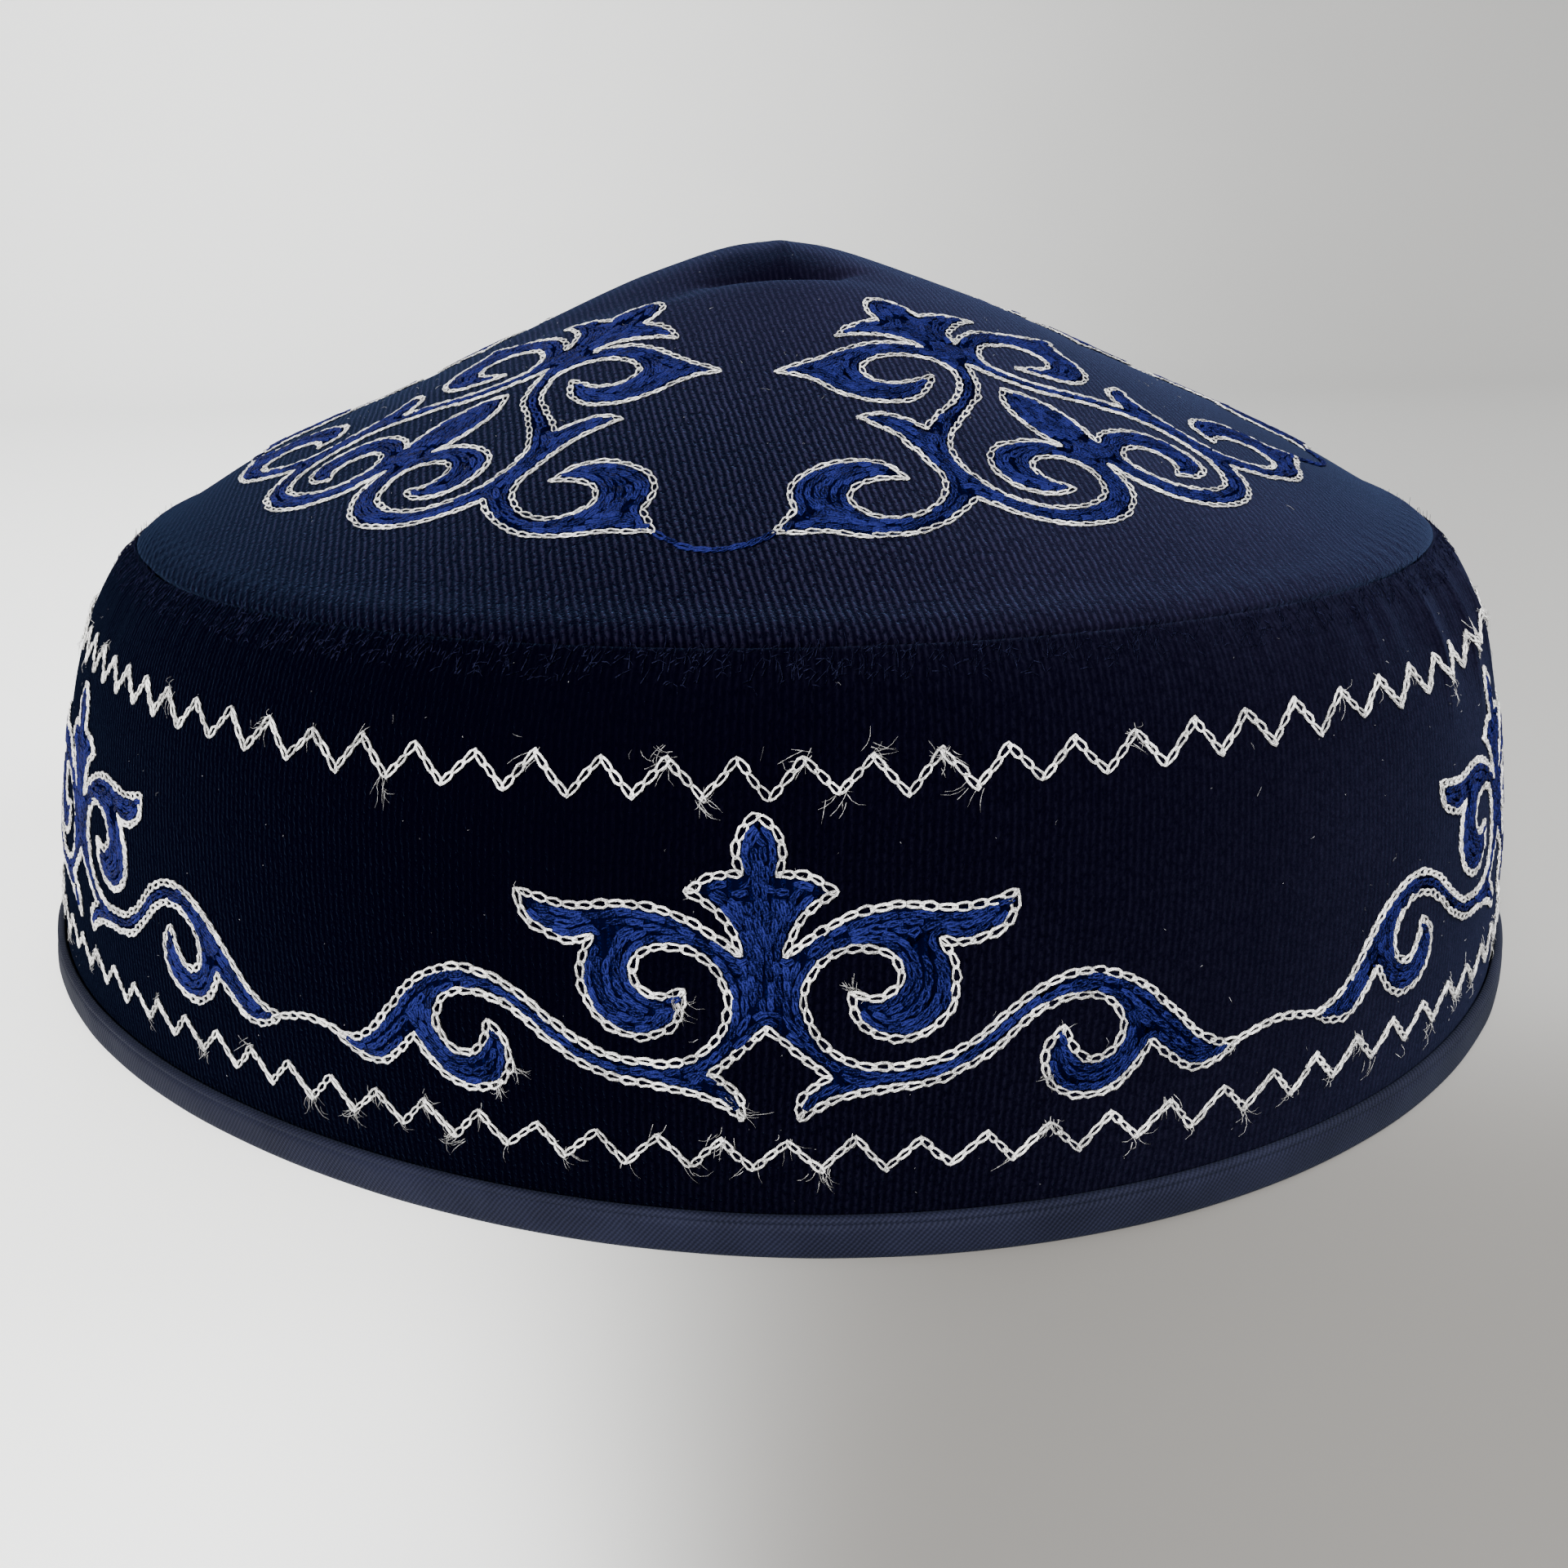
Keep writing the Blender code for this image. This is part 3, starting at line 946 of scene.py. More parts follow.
def ring_quads(rows: int, columns: int, closed: bool) -> Array:
    """Faces between rings of points.

    Args:
        rows: Number of rings.
        columns: Points in each ring, which closes on itself.
        closed: Whether the last ring joins the first.

    Returns:
        Four corner numbers a face, ordered so that the faces look outwards when rings go down an
        outer side and columns run with the azimuth.
    """
    row, column = np.indices((rows if closed else rows - 1, columns))
    above, below, right = row * columns, (row + 1) % rows * columns, (column + 1) % columns
    corners = [above + column, below + column, below + right, above + right]
    return np.stack(corners, axis=-1).reshape(-1, 4)


def ring_flat(along: Array, down: Array) -> Array:
    """Flat coordinates of the corners of ring_quads.

    Args:
        along: Coordinate along the ring of each column, and of the closing one after the last.
        down: Coordinate of each ring, and of the closing one after the last.

    Returns:
        Two numbers for each corner of each face.
    """
    row, column = np.indices((len(down) - 1, len(along) - 1))
    u = along[np.stack([column, column, column + 1, column + 1], axis=-1)]
    v = down[np.stack([row, row + 1, row + 1, row], axis=-1)]
    return np.stack([u, v], axis=-1).reshape(-1, 2)


@dataclass
class ClothShell:
    """A sewn cloth surface of revolution with its thickness."""

    form: CapForm
    columns: int = 840
    rows: int = 32
    inner_rows: int = 5
    flat_radius: float = 88.8 * MM

    def grid(self, *rings: Array) -> list[Array]:
        """Azimuths and each number of the rings, over all rings and columns."""
        azimuth = np.linspace(-math.pi, math.pi, self.columns, endpoint=False)
        return np.broadcast_arrays(azimuth[None, :], *(values[:, None] for values in rings))

    def walled(self, outer: Array) -> tuple[Array, Array]:
        """Rings of both sides of the cloth.

        The inner side is a choice of the outer rings, from the last to the first, moved in by the
        wall along the normals. A normal is the cross product of the way down and the way round.

        Args:
            outer: Rings of the outer side.

        Returns:
            All rings, and which of the outer ones have an inner one.
        """
        around = np.roll(outer, -1, axis=1) - np.roll(outer, 1, axis=1)
        inner = outer - unit(np.cross(np.gradient(outer, axis=0), around)) * self.form.wall
        chosen = np.linspace(self.rows - 1, 0, self.inner_rows).round().astype(int)
        return np.concatenate([outer, inner[chosen]]), chosen

    def closed_mesh(self, points: Array, down: Array) -> MeshParts:
        """Mesh of rings whose last joins the first.

        Args:
            points: The rings.
            down: Flat height of each ring and of the closing one.

        Returns:
            The mesh arrays.
        """
        along = np.linspace(-math.pi, math.pi, self.columns + 1) * self.flat_radius
        quads = ring_quads(len(points), self.columns, True)
        return MeshParts(points.reshape(-1, 3), [quads], [ring_flat(along, down)])


@dataclass
class VelvetBand(ClothShell):
    """The band: velvet from the seam down into the binding, with gathers and puckers."""

    inner_offset: float = 0.1

    def build(self, material: Material) -> Piece:
        """Make the band.

        Heights run from the seam to the foot, closer together near the seam. The inner side lies
        an offset lower on the flat chart.

        Args:
            material: The velvet.

        Returns:
            The piece.
        """
        top = self.form.seam_point(self.form.gap / 2)[1]
        low = self.form.band_profile_mm[0][0] * MM
        height = top + (low - top) * np.linspace(0.0, 1.0, self.rows) ** 1.5
        points, chosen = self.walled(self.form.band_point(*self.grid(height)))
        inner = np.append(height[chosen], height[0]) - self.inner_offset
        return self.closed_mesh(points, np.append(height, inner)).piece("velvet_band", material)


@dataclass
class VelvetCrown(ClothShell):
    """The crown: a low velvet cone with a pinched peak, ending in a lip at the seam."""

    columns: int = 720
    rows: int = 76
    inner_rows: int = 8

    def profile(self) -> Array:
        """Radius and height of the outer side's rings.

        The rings follow a smooth curve through the frame's knots. They stand closer together round
        the peak's crease and beside the seam, by a density of one plus a bell for each.

        Returns:
            Two numbers for each ring.
        """
        form = self.form
        shares = np.array(form.crown_rings) * form.seam_radius
        knots = np.stack([shares, form.crown_height(shares)], axis=1)
        lip = [form.seam_point(-form.gap / 2 - form.seam_lip), form.seam_point(-form.gap / 2)]
        knots = np.concatenate([knots, lip])
        length = travelled(knots)
        at = np.linspace(0.5 * MM, length[-1], 2000)
        crease = 2.6 * bell(at - 15 * MM, 3.5 * MM)
        counted = np.cumsum(1 + crease + 1.5 * bell(length[-1] - at, 4 * MM))
        wanted = np.interp(np.linspace(counted[0], counted[-1], self.rows), counted, at)
        return smooth_curve(wanted, length, knots)

    def build(self, material: Material) -> Piece:
        """Make the crown.

        Rings go from the peak out to the lip and, moved in by the wall, back again. The two peaks
        are closed with fans.

        Args:
            material: The velvet.

        Returns:
            The piece.
        """
        rings, _ = self.walled(self.form.crown_place(*self.grid(*self.profile().T)))
        points = np.concatenate([rings.reshape(-1, 3), rings[[0, -1]].mean(axis=1)])
        peak, last = rings[..., 0].size, rings[:-1, :, 0].size
        column = np.arange(self.columns)
        following = np.roll(column, -1)
        over = np.stack([np.full_like(column, peak), column, following], axis=1)
        under = np.stack([np.full_like(column, peak + 1), last + following, last + column], axis=1)
        faces = [ring_quads(len(rings), self.columns, False), over, under]
        flat = [points[face.ravel()][:, :2] for face in faces]
        return MeshParts(points, faces, flat).piece("velvet_crown", material)


@dataclass
class TwillBinding(ClothShell):
    """The binding: a tape folded round the band's lower edge, with a sewn groove near its top."""

    section_mm: Table = (
        # out from the band's face, height
        (0.30, 4.55), (0.55, 4.72), (0.90, 4.70), (1.14, 4.58), (1.24, 4.38), (1.20, 4.16),
        (1.04, 4.02), (1.10, 3.88), (1.24, 3.70), (1.30, 3.30), (1.32, 2.60), (1.32, 1.80),
        (1.31, 1.20), (1.27, 0.80), (1.15, 0.42), (0.92, 0.14), (0.60, 0.02), (0.20, 0.00),
        (-0.90, 0.00), (-2.20, 0.00), (-2.60, 0.02), (-2.95, 0.16), (-3.18, 0.45),
        (-3.28, 0.85), (-3.30, 1.60), (-3.30, 3.20), (-3.27, 4.20), (-3.12, 4.55),
        (-2.80, 4.72), (-2.50, 4.70), (-2.30, 4.50), (-2.30, 1.20), (-2.10, 1.00),
        (-0.90, 1.00), (0.10, 1.00), (0.30, 1.20),
    )
    ripple: float = 0.10 * MM
    columns: int = 480
    flat_radius: float = 92.5 * MM

    def build(self, material: Material) -> Piece:
        """Make the binding.

        The closed section is carried round the band's foot. The tape's outer leaf swells and sinks
        by two slow sines of the azimuth, most at mid height.

        Args:
            material: The twill.

        Returns:
            The piece.
        """
        section = np.array(self.section_mm) * MM
        azimuth, out, height = self.grid(*section.T)
        swell = np.sin(37 * azimuth + 2 * np.sin(5 * azimuth)) * np.sin(11 * azimuth)
        swell = self.ripple * swell * bell(height - 2.4 * MM, 1.6 * MM) * (out > 0)
        face = self.form.band_profile_mm[0][1] * MM
        points = self.form.wall_place(azimuth, face + out + swell, height)
        down = travelled(np.concatenate([section, section[:1]]))
        return self.closed_mesh(points, down).piece("twill_binding", material)


@dataclass(frozen=True)
class Ground:
    """A flat chart's way on to the cap."""

    form: CapForm
    azimuth: float = 0.0
    step: float = 0.2 * MM

    def spots(self, chart: Array) -> Array:
        """Points of the cloth under points of the chart."""
        raise NotImplementedError

    def place(self, chart: Array) -> tuple[Array, Array]:
        """Points and outward normals of the cloth.

        The normal is the cross product of two short steps on the cloth, one each way of the chart.

        Args:
            chart: Points of the chart in metres, with two numbers along the last axis.

        Returns:
            The points and the normals.
        """
        along = self.spots(chart + (self.step, 0.0)) - self.spots(chart - (self.step, 0.0))
        up = self.spots(chart + (0.0, self.step)) - self.spots(chart - (0.0, self.step))
        return self.spots(chart), unit(np.cross(along, up))


@dataclass(frozen=True)
class BandGround(Ground):
    """The band: the chart's first number goes round it, the second is the height."""

    tilt: float = 0.0
    tilt_height: float = 21.0 * MM

    def spots(self, chart: Array) -> Array:
        """Points of the band under points of the chart, which may lean by the tilt."""
        across = chart[..., 0] - self.tilt * (chart[..., 1] - self.tilt_height)
        return self.form.band_point(self.azimuth + across / CHART_RADIUS, chart[..., 1])


@dataclass(frozen=True)
class CrownGround(Ground):
    """The crown: the second number is the distance from the peak, the first goes across."""

    turn: float = 0.0
    shifted: float = 0.0
    side: int = 1
    aside: float = 0.0
    outwards: float = 0.0
    middle: float = 40.5 * MM
    leaf_reach: float = 36.0 * MM

    def plan(self, chart: Array) -> Array:
        """Places in plan of points of the chart, dragged on one side and turned about the middle.

        The drag grows with the square of the distance from the other side's leaf tip.

        Args:
            chart: Points across and up.

        Returns:
            Places with x and y.
        """
        drag = ((self.leaf_reach + self.side * chart[..., 0]) / (2 * self.leaf_reach)) ** 2
        u = chart[..., 0] + self.side * self.aside * drag
        v = chart[..., 1] + self.shifted - self.middle + self.outwards * drag
        across = u * math.cos(self.turn) - v * math.sin(self.turn)
        out = self.middle + u * math.sin(self.turn) + v * math.cos(self.turn)
        x = across * math.cos(self.azimuth) + out * math.sin(self.azimuth)
        y = across * math.sin(self.azimuth) - out * math.cos(self.azimuth)
        return np.stack([x, y], axis=-1)

    def spots(self, chart: Array) -> Array:
        """Points of the crown under points of the chart."""
        return self.form.crown_point(*np.moveaxis(self.plan(chart), -1, 0))

    def place(self, chart: Array) -> tuple[Array, Array]:
        """Points and normals, turned, because the chart's second number runs down the cone."""
        points, normals = super().place(chart)
        return points, -normals


class Figure:
    """An ornament's flat chart: its closed outlines and the rows of stitches that fill it."""

    spacing = 0.12 * MM
    row_pitch = 0.74 * MM
    edge_room = 0.40 * MM
    shortest_row = 1.5 * MM
    darn_pitch = 0.50 * MM
    darn_reach = 0.52 * MM
    darn_width = 0.9
    corner_fan = 13
    least_lean = 0.08
    least_apart = 0.3 * MM
    longest_jump = 0.45 * MM
    least_lone = 0.5
    lone_width = (0.7, 1.35)
    pad_reach = (0.25 * MM, 0.25 * MM, 1.5 * MM, 9.0 * MM, 9.0 * MM)
    pad_height = (-0.05 * MM, 0.05 * MM, 0.16 * MM, 0.18 * MM, -0.05 * MM)
    pad_step = 6
    far_off = 1.0

    def __init__(
        self, *halves: Sequence[tuple[float, float, int]],
        upright: Sequence[tuple[float, float, float]] = (),
    ) -> None:
        """Mirror each half outline, the outermost first, and work out the rows.

        Args:
            halves: Half outlines as rows of across, up and corner.
            upright: Rows of stitches up the stem: across, lower end and upper end.
        """
        found = [self.mirrored(np.array(half, float)) for half in halves]
        self.outlines = [run for runs in found for run in runs]
        loops = [self.around(runs, number == 0) for number, runs in enumerate(found)]
        self.points, self.normals = (np.concatenate(parts) for parts in zip(*loops))
        self.following = np.concatenate([np.roll(points, -1, axis=0) for points, _ in loops])
        self.belongs = np.repeat(np.arange(len(loops)), [len(points) for points, _ in loops])
        room, partner = self.room()
        self.pads = self.pad_rings(room)
        self.rows = self.fill(room, partner)
        for across, low, high in upright:
            up = np.arange(low, high, self.spacing / MM)
            row = np.stack([np.full_like(up, across), up, np.full_like(up, 1.0 / MM)], axis=1) * MM
            self.rows += [row, row * (-1, 1, 1)]
        self.rows += self.darns()

    def mirrored(self, half: Array) -> list[Array]:
        """The whole outline as smooth runs between its sharp corners.

        Args:
            half: Rows of across, up and corner, from axis to axis.

        Returns:
            Runs of points in metres, evenly spaced.
        """
        keep = 1 if half[0, 0] == 0 else 0
        whole = np.concatenate([half[::-1] * (-1, 1, 1), half[keep:]])
        corners = np.flatnonzero(whole[:, 2])
        runs = []
        for first, last in zip(corners[:-1], corners[1:]):
            knots = whole[first : last + 1, :2] * MM
            length = travelled(knots)
            at = np.linspace(0.0, length[-1], max(3, int(length[-1] / self.spacing)))
            curve = smooth_curve if len(knots) > 2 else straight_lines
            runs.append(curve(at, length, knots))
        return runs

    def around(self, runs: list[Array], filled_inside: bool) -> tuple[Array, Array]:
        """Points of one outline with normals towards the filled side.

        A fan of normals stands at every corner, so that rows bend round it.

        Args:
            runs: The outline's runs.
            filled_inside: Whether the stitches lie inside it.

        Returns:
            The points and their normals.
        """
        x, y = np.concatenate([run[:-1] for run in runs]).T
        area = np.sum(x * np.roll(y, -1) - y * np.roll(x, -1)) / 2
        side = 1.0 if (area > 0) == filled_inside else -1.0
        headings = [np.unwrap(np.arctan2(*np.gradient(run, axis=0).T[::-1])) for run in runs]
        points, angles = [], []
        for number, (run, heading) in enumerate(zip(runs, headings)):
            following = headings[(number + 1) % len(runs)][0]
            bend = (following - heading[-1] + math.pi) % TURN - math.pi
            fan = heading[-1] + bend * np.linspace(0.0, 1.0, self.corner_fan)
            points += [run, np.repeat(run[-1:], len(fan), axis=0)]
            angles += [heading, fan]
        angle = np.concatenate(angles)
        return np.concatenate(points), side * np.stack([-np.sin(angle), np.cos(angle)], axis=1)

    def room(self) -> tuple[Array, Array]:
        """Room inside the outline at each of its points.

        It is the radius of the largest circle that touches the outline there and holds no other
        point of it: the squared distance to each other point over twice its part along the normal,
        and the least of those.

        Returns:
            The room, and the number of the point on the other side.
        """
        rooms, partners = [], []
        for points, normals in zip(*(np.array_split(part, 1 + len(part) // 500)
                                     for part in (self.points, self.normals))):
            apart = self.points - points[:, None]
            square = (apart**2).sum(axis=2)
            inward = (apart * normals[:, None]).sum(axis=2)
            leans = inward > self.least_lean * np.sqrt(square)
            blocked = leans & (square > self.least_apart**2)
            radius = np.where(blocked, square / (2 * np.maximum(inward, 1e-9)), self.far_off)
            rooms.append(radius.min(axis=1))
            partners.append(radius.argmin(axis=1))
        return np.concatenate(rooms), np.concatenate(partners)

    def fill(self, room: Array, partner: Array) -> list[Array]:
        """Rows of stitches that follow the outline inwards.

        Rows lie at a fixed pitch in the room, and where a strip is left over in the middle, one row
        of its width runs along it.

        Args:
            room: Room at each outline point.
            partner: The point on the other side.

        Returns:
            Rows of across, up and width factor.
        """
        free = room - self.edge_room
        count = np.floor(np.maximum(free, 0.0) / self.row_pitch)
        left_over = 2 * (free - count * self.row_pitch)
        rows = []
        for number in range(int(count.max())):
            offset = self.edge_room + (number + 0.5) * self.row_pitch
            rows += self.strips(self.points + self.normals * offset, count > number, 1.0)
        width = left_over / self.row_pitch
        lone = (width > self.least_lone) & (np.arange(len(room)) < partner)
        width = np.clip(width, *self.lone_width)
        return rows + self.strips(self.points + self.normals * room[:, None], lone, width)

    def pad_rings(self, room: Array) -> list[Array]:
        """Padding that lies under the rows.

        Args:
            room: Room at each outline point.

        Returns:
            For each outline a ring of sections, with across, up and height.
        """
        reach = np.minimum(np.array(self.pad_reach)[:, None], 1.5 * room)[..., None]
        height = np.broadcast_to(np.array(self.pad_height)[:, None, None], reach.shape)
        pad = np.concatenate([self.points + self.normals * reach, height], axis=2)
        return [pad[:, self.belongs == number][:, :: self.pad_step]
                for number in range(self.belongs[-1] + 1)]

    def darns(self) -> list[Array]:
        """Single stitches along the outline wherever the long rows leave the ground bare.

        A place on a square grid is bare when the outline is crossed an odd number of times on the
        way out, and when the outline and every row are further off than a given reach.

        Returns:
            Rows of one stitch each, with across, up and width factor.
        """
        points, reach = self.points, self.darn_reach**2
        rise = self.following[:, 1] - points[:, 1]
        lean = (self.following[:, 0] - points[:, 0]) / np.where(rise == 0, 1.0, rise)
        rows = np.concatenate([row[:, :2] for row in self.rows])
        ends = zip(points.min(axis=0), points.max(axis=0))
        sides = [np.arange(first, last, self.darn_pitch) for first, last in ends]
        grid = np.stack(np.meshgrid(*sides, indexing="ij"), axis=-1).reshape(-1, 2)
        found = []
        for part in np.array_split(grid, 1 + len(grid) // 1000):
            x, y = part[:, :1], part[:, 1:]
            level = (points[:, 1] > y) != (self.following[:, 1] > y)
            crossed = level & (x < points[:, 0] + (y - points[:, 1]) * lean)
            apart = ((part[:, None] - points) ** 2).sum(axis=2)
            bare = ((part[:, None] - rows) ** 2).sum(axis=2).min(axis=1) > reach
            kept = (crossed.sum(axis=1) % 2 == 1) & (apart.min(axis=1) > reach) & bare
            way = self.normals[apart[kept].argmin(axis=1)][:, ::-1] * (-1, 1)
            found.append(np.concatenate([part[kept], way], axis=1))
        middle, way = np.split(np.concatenate(found), 2, axis=1)
        line = middle[:, None] + way[:, None] * (np.linspace(-0.6, 0.6, 5)[:, None] * MM)
        return list(np.insert(line, 2, self.darn_width, axis=2))

    def strips(self, points: Array, kept: Array, width: Any) -> list[Array]:
        """Unbroken rows among the kept points, without the ones too short for a stitch.

        Args:
            points: A moved point for each outline point.
            kept: Which of them are kept.
            width: Width factor of all, or of each.

        Returns:
            Rows of across, up and width factor.
        """
        found = np.concatenate([points, np.broadcast_to(width, len(points))[:, None]], axis=1)
        where = np.flatnonzero(kept)
        jump = np.linalg.norm(np.diff(points[where], axis=0), axis=1) > self.longest_jump
        cut = jump | (np.diff(where) > 1) | (np.diff(self.belongs[where]) != 0)
        runs = np.split(found[where], np.flatnonzero(cut) + 1)
        return [run for run in runs
                if len(run) > 3 and travelled(run[:, :2])[-1] > self.shortest_row]


@dataclass(frozen=True)
class ChainStitch:
    """One kind of chain stitch: the size of its loops and of its thread."""

    pitch: float = 1.42 * MM
    half_width: float = 0.33 * MM
    thread: float = 0.132 * MM
    low: float = 0.03 * MM
    high: float = 0.24 * MM
    stations: int = 8
    sides: int = 4
    unevenness: float = 0.05 * MM
    opening: float = 0.42
    loop_start: float = -0.14
    loop_length: float = 1.26
    stretch: Span = (-0.10, 0.14)
    widths: Span = (0.78, 1.18)
    thicknesses: Span = (0.85, 1.15)
    lift_unevenness: float = 0.02 * MM

    def loop(self) -> tuple[Array, Array, Array]:
        """One loop seen from above and from the side.

        With an angle that goes once round but for an opening, the place along is less its cosine,
        the place across is its sine times the sine of its half, which makes a drop, and the height
        rises with the sine of its half and sinks a little at the head.

        Returns:
            Place along as a share of the pitch, place across from -1 to 1, and height in metres.
        """
        angle = np.linspace(self.opening, TURN - self.opening, self.stations)
        along = self.loop_start + self.loop_length * (1 - np.cos(angle)) / 2
        across = np.sin(angle) * np.sin(angle / 2) ** 0.8 / 0.80
        rise = np.sin(angle / 2) ** 0.6 - 0.30 * bell(angle - math.pi, 0.6)
        return along, across, self.low + (self.high - self.low) * rise

    def loops_along(self, run: Array, rng: np.random.Generator) -> Array:
        """Loops set head to tail along a run.

        Args:
            run: Points across and up, with a width factor as an optional third number.
            rng: Source of the small unevenness.

        Returns:
            Stations of each loop: across, up and height.
        """
        ends = unit(run[[0, -1], :2] - run[[1, -2], :2]) * self.pitch
        line = np.concatenate([run[:1, :2] + ends[:1], run[:, :2], run[-1:, :2] + ends[1:]])
        length = travelled(line) - self.pitch
        whole = length[-2]
        count = max(1, int(round(whole / self.pitch)))
        along, across, height = self.loop()
        long = 1.0 + rng.uniform(*self.stretch, (count, 1))
        at = (np.arange(count)[:, None] + along * long) * whole / count
        spot = straight_lines(at, length, line)
        way = unit(straight_lines(at, length, unit(np.gradient(line, length, axis=0))))
        aside = np.stack([-way[..., 1], way[..., 0]], axis=-1)
        width = np.ones(count)
        if run.shape[1] == 3:
            width = np.interp((np.arange(count) + 0.5) * whole / count, length[1:-1], run[:, 2])
        width = width * rng.uniform(*self.widths, count)
        slip = rng.normal(0.0, self.unevenness, (count, 1))
        spot = spot + aside * (across * self.half_width * width[:, None] + slip)[..., None]
        lift = height + rng.normal(0.0, self.lift_unevenness, (count, 1))
        return np.concatenate([spot, lift[..., None]], axis=-1)

    def sew(
        self, name: str, runs: Sequence[Array], ground: Ground, material: Material, seed: int
    ) -> Piece:
        """Sew runs of chain stitch on to the cloth as one piece.

        Args:
            name: The piece's name.
            runs: Lines of the chart to follow.
            ground: The cloth.
            material: The thread.
            seed: Start of the small unevenness.

        Returns:
            The piece.
        """
        rng = np.random.default_rng(seed)
        loops = np.concatenate([self.loops_along(run, rng) for run in runs])
        points, normals = ground.place(loops[..., :2])
        centres = points + normals * loops[..., 2:]
        thickness = self.thread * rng.uniform(*self.thicknesses, (len(loops), 1))
        tone = rng.random(len(loops))
        return tubes(centres, normals, thickness, self.sides, tone).piece(name, material)


def padding(name: str, pads: Sequence[Array], ground: Ground, material: Material) -> Piece:
    """Flat pads of thread that lie under the filling stitches, near black as painted shade in their
    gaps.

    Args:
        name: The piece's name.
        pads: Rings of sections, with across, up and height.
        ground: The cloth.
        material: The thread.

    Returns:
        The piece.
    """
    points, faces, flat, before = [], [], [], 0
    for pad in pads:
        spots, normals = ground.place(pad[..., :2])
        grid = (spots + normals * pad[..., 2:]).reshape(-1, 3)
        quads = ring_quads(len(pad), pad.shape[1], True)
        first, second, _, last = (grid[quads[:, corner]] for corner in range(4))
        looks = np.cross(second - first, last - first) * normals.reshape(-1, 3)
        if looks[pad.shape[1] : 2 * pad.shape[1]].sum() < 0:
            quads = quads[:, ::-1]
        points.append(grid)
        faces.append(quads + before)
        flat.append(pad[..., :2].reshape(-1, 2)[quads])
        before += len(grid)
    whole = np.concatenate(points)
    return MeshParts(whole, faces, flat, np.full(len(whole), PAD_SHADE_TONE)).piece(name, material)


def tubes(centres: Array, normals: Array, radius: Array, sides: int, tone: Array) -> MeshParts:
    """Many closed tubes at once.

    Each station's ring is its centre plus the radius times a circle in the plane of the normal and
    of the cross product of the normal and the line's heading.

    Args:
        centres: Stations of each tube's middle line.
        normals: The cloth's normal at each station.
        radius: Tube radius at each station, or one for each tube.
        sides: Corners of a ring.
        tone: One number for each tube.

    Returns:
        The mesh arrays, with caps at both ends of each tube.
    """
    count, stations = centres.shape[:2]
    heading = unit(np.gradient(centres, axis=1))
    beside = unit(np.cross(normals, heading))
    over = np.cross(heading, beside)
    angle = (np.arange(sides) * TURN / sides + math.pi / sides)[:, None]
    circle = beside[:, :, None] * np.cos(angle) + over[:, :, None] * np.sin(angle)
    points = centres[:, :, None] + radius[:, :, None, None] * circle
    tube, row, side = np.indices((count, stations - 1, sides))
    near, following = (tube * stations + row) * sides, (side + 1) % sides
    corners = [near + side, near + following, near + sides + following, near + sides + side]
    first, ring = np.arange(count)[:, None] * stations * sides, np.arange(sides)
    faces = [np.stack(corners, axis=-1).reshape(-1, 4), first + ring[::-1],
             first + (stations - 1) * sides + ring]
    along = travelled(centres)[tube[..., None], np.stack([row, row, row + 1, row + 1], axis=-1)]
    around = np.stack([side, side + 1, side + 1, side], axis=-1) / sides
    flat = [np.stack([along, around], axis=-1), np.zeros((2 * count * sides, 2))]
    return MeshParts(points.reshape(-1, 3), faces, flat, np.repeat(tone, stations * sides))


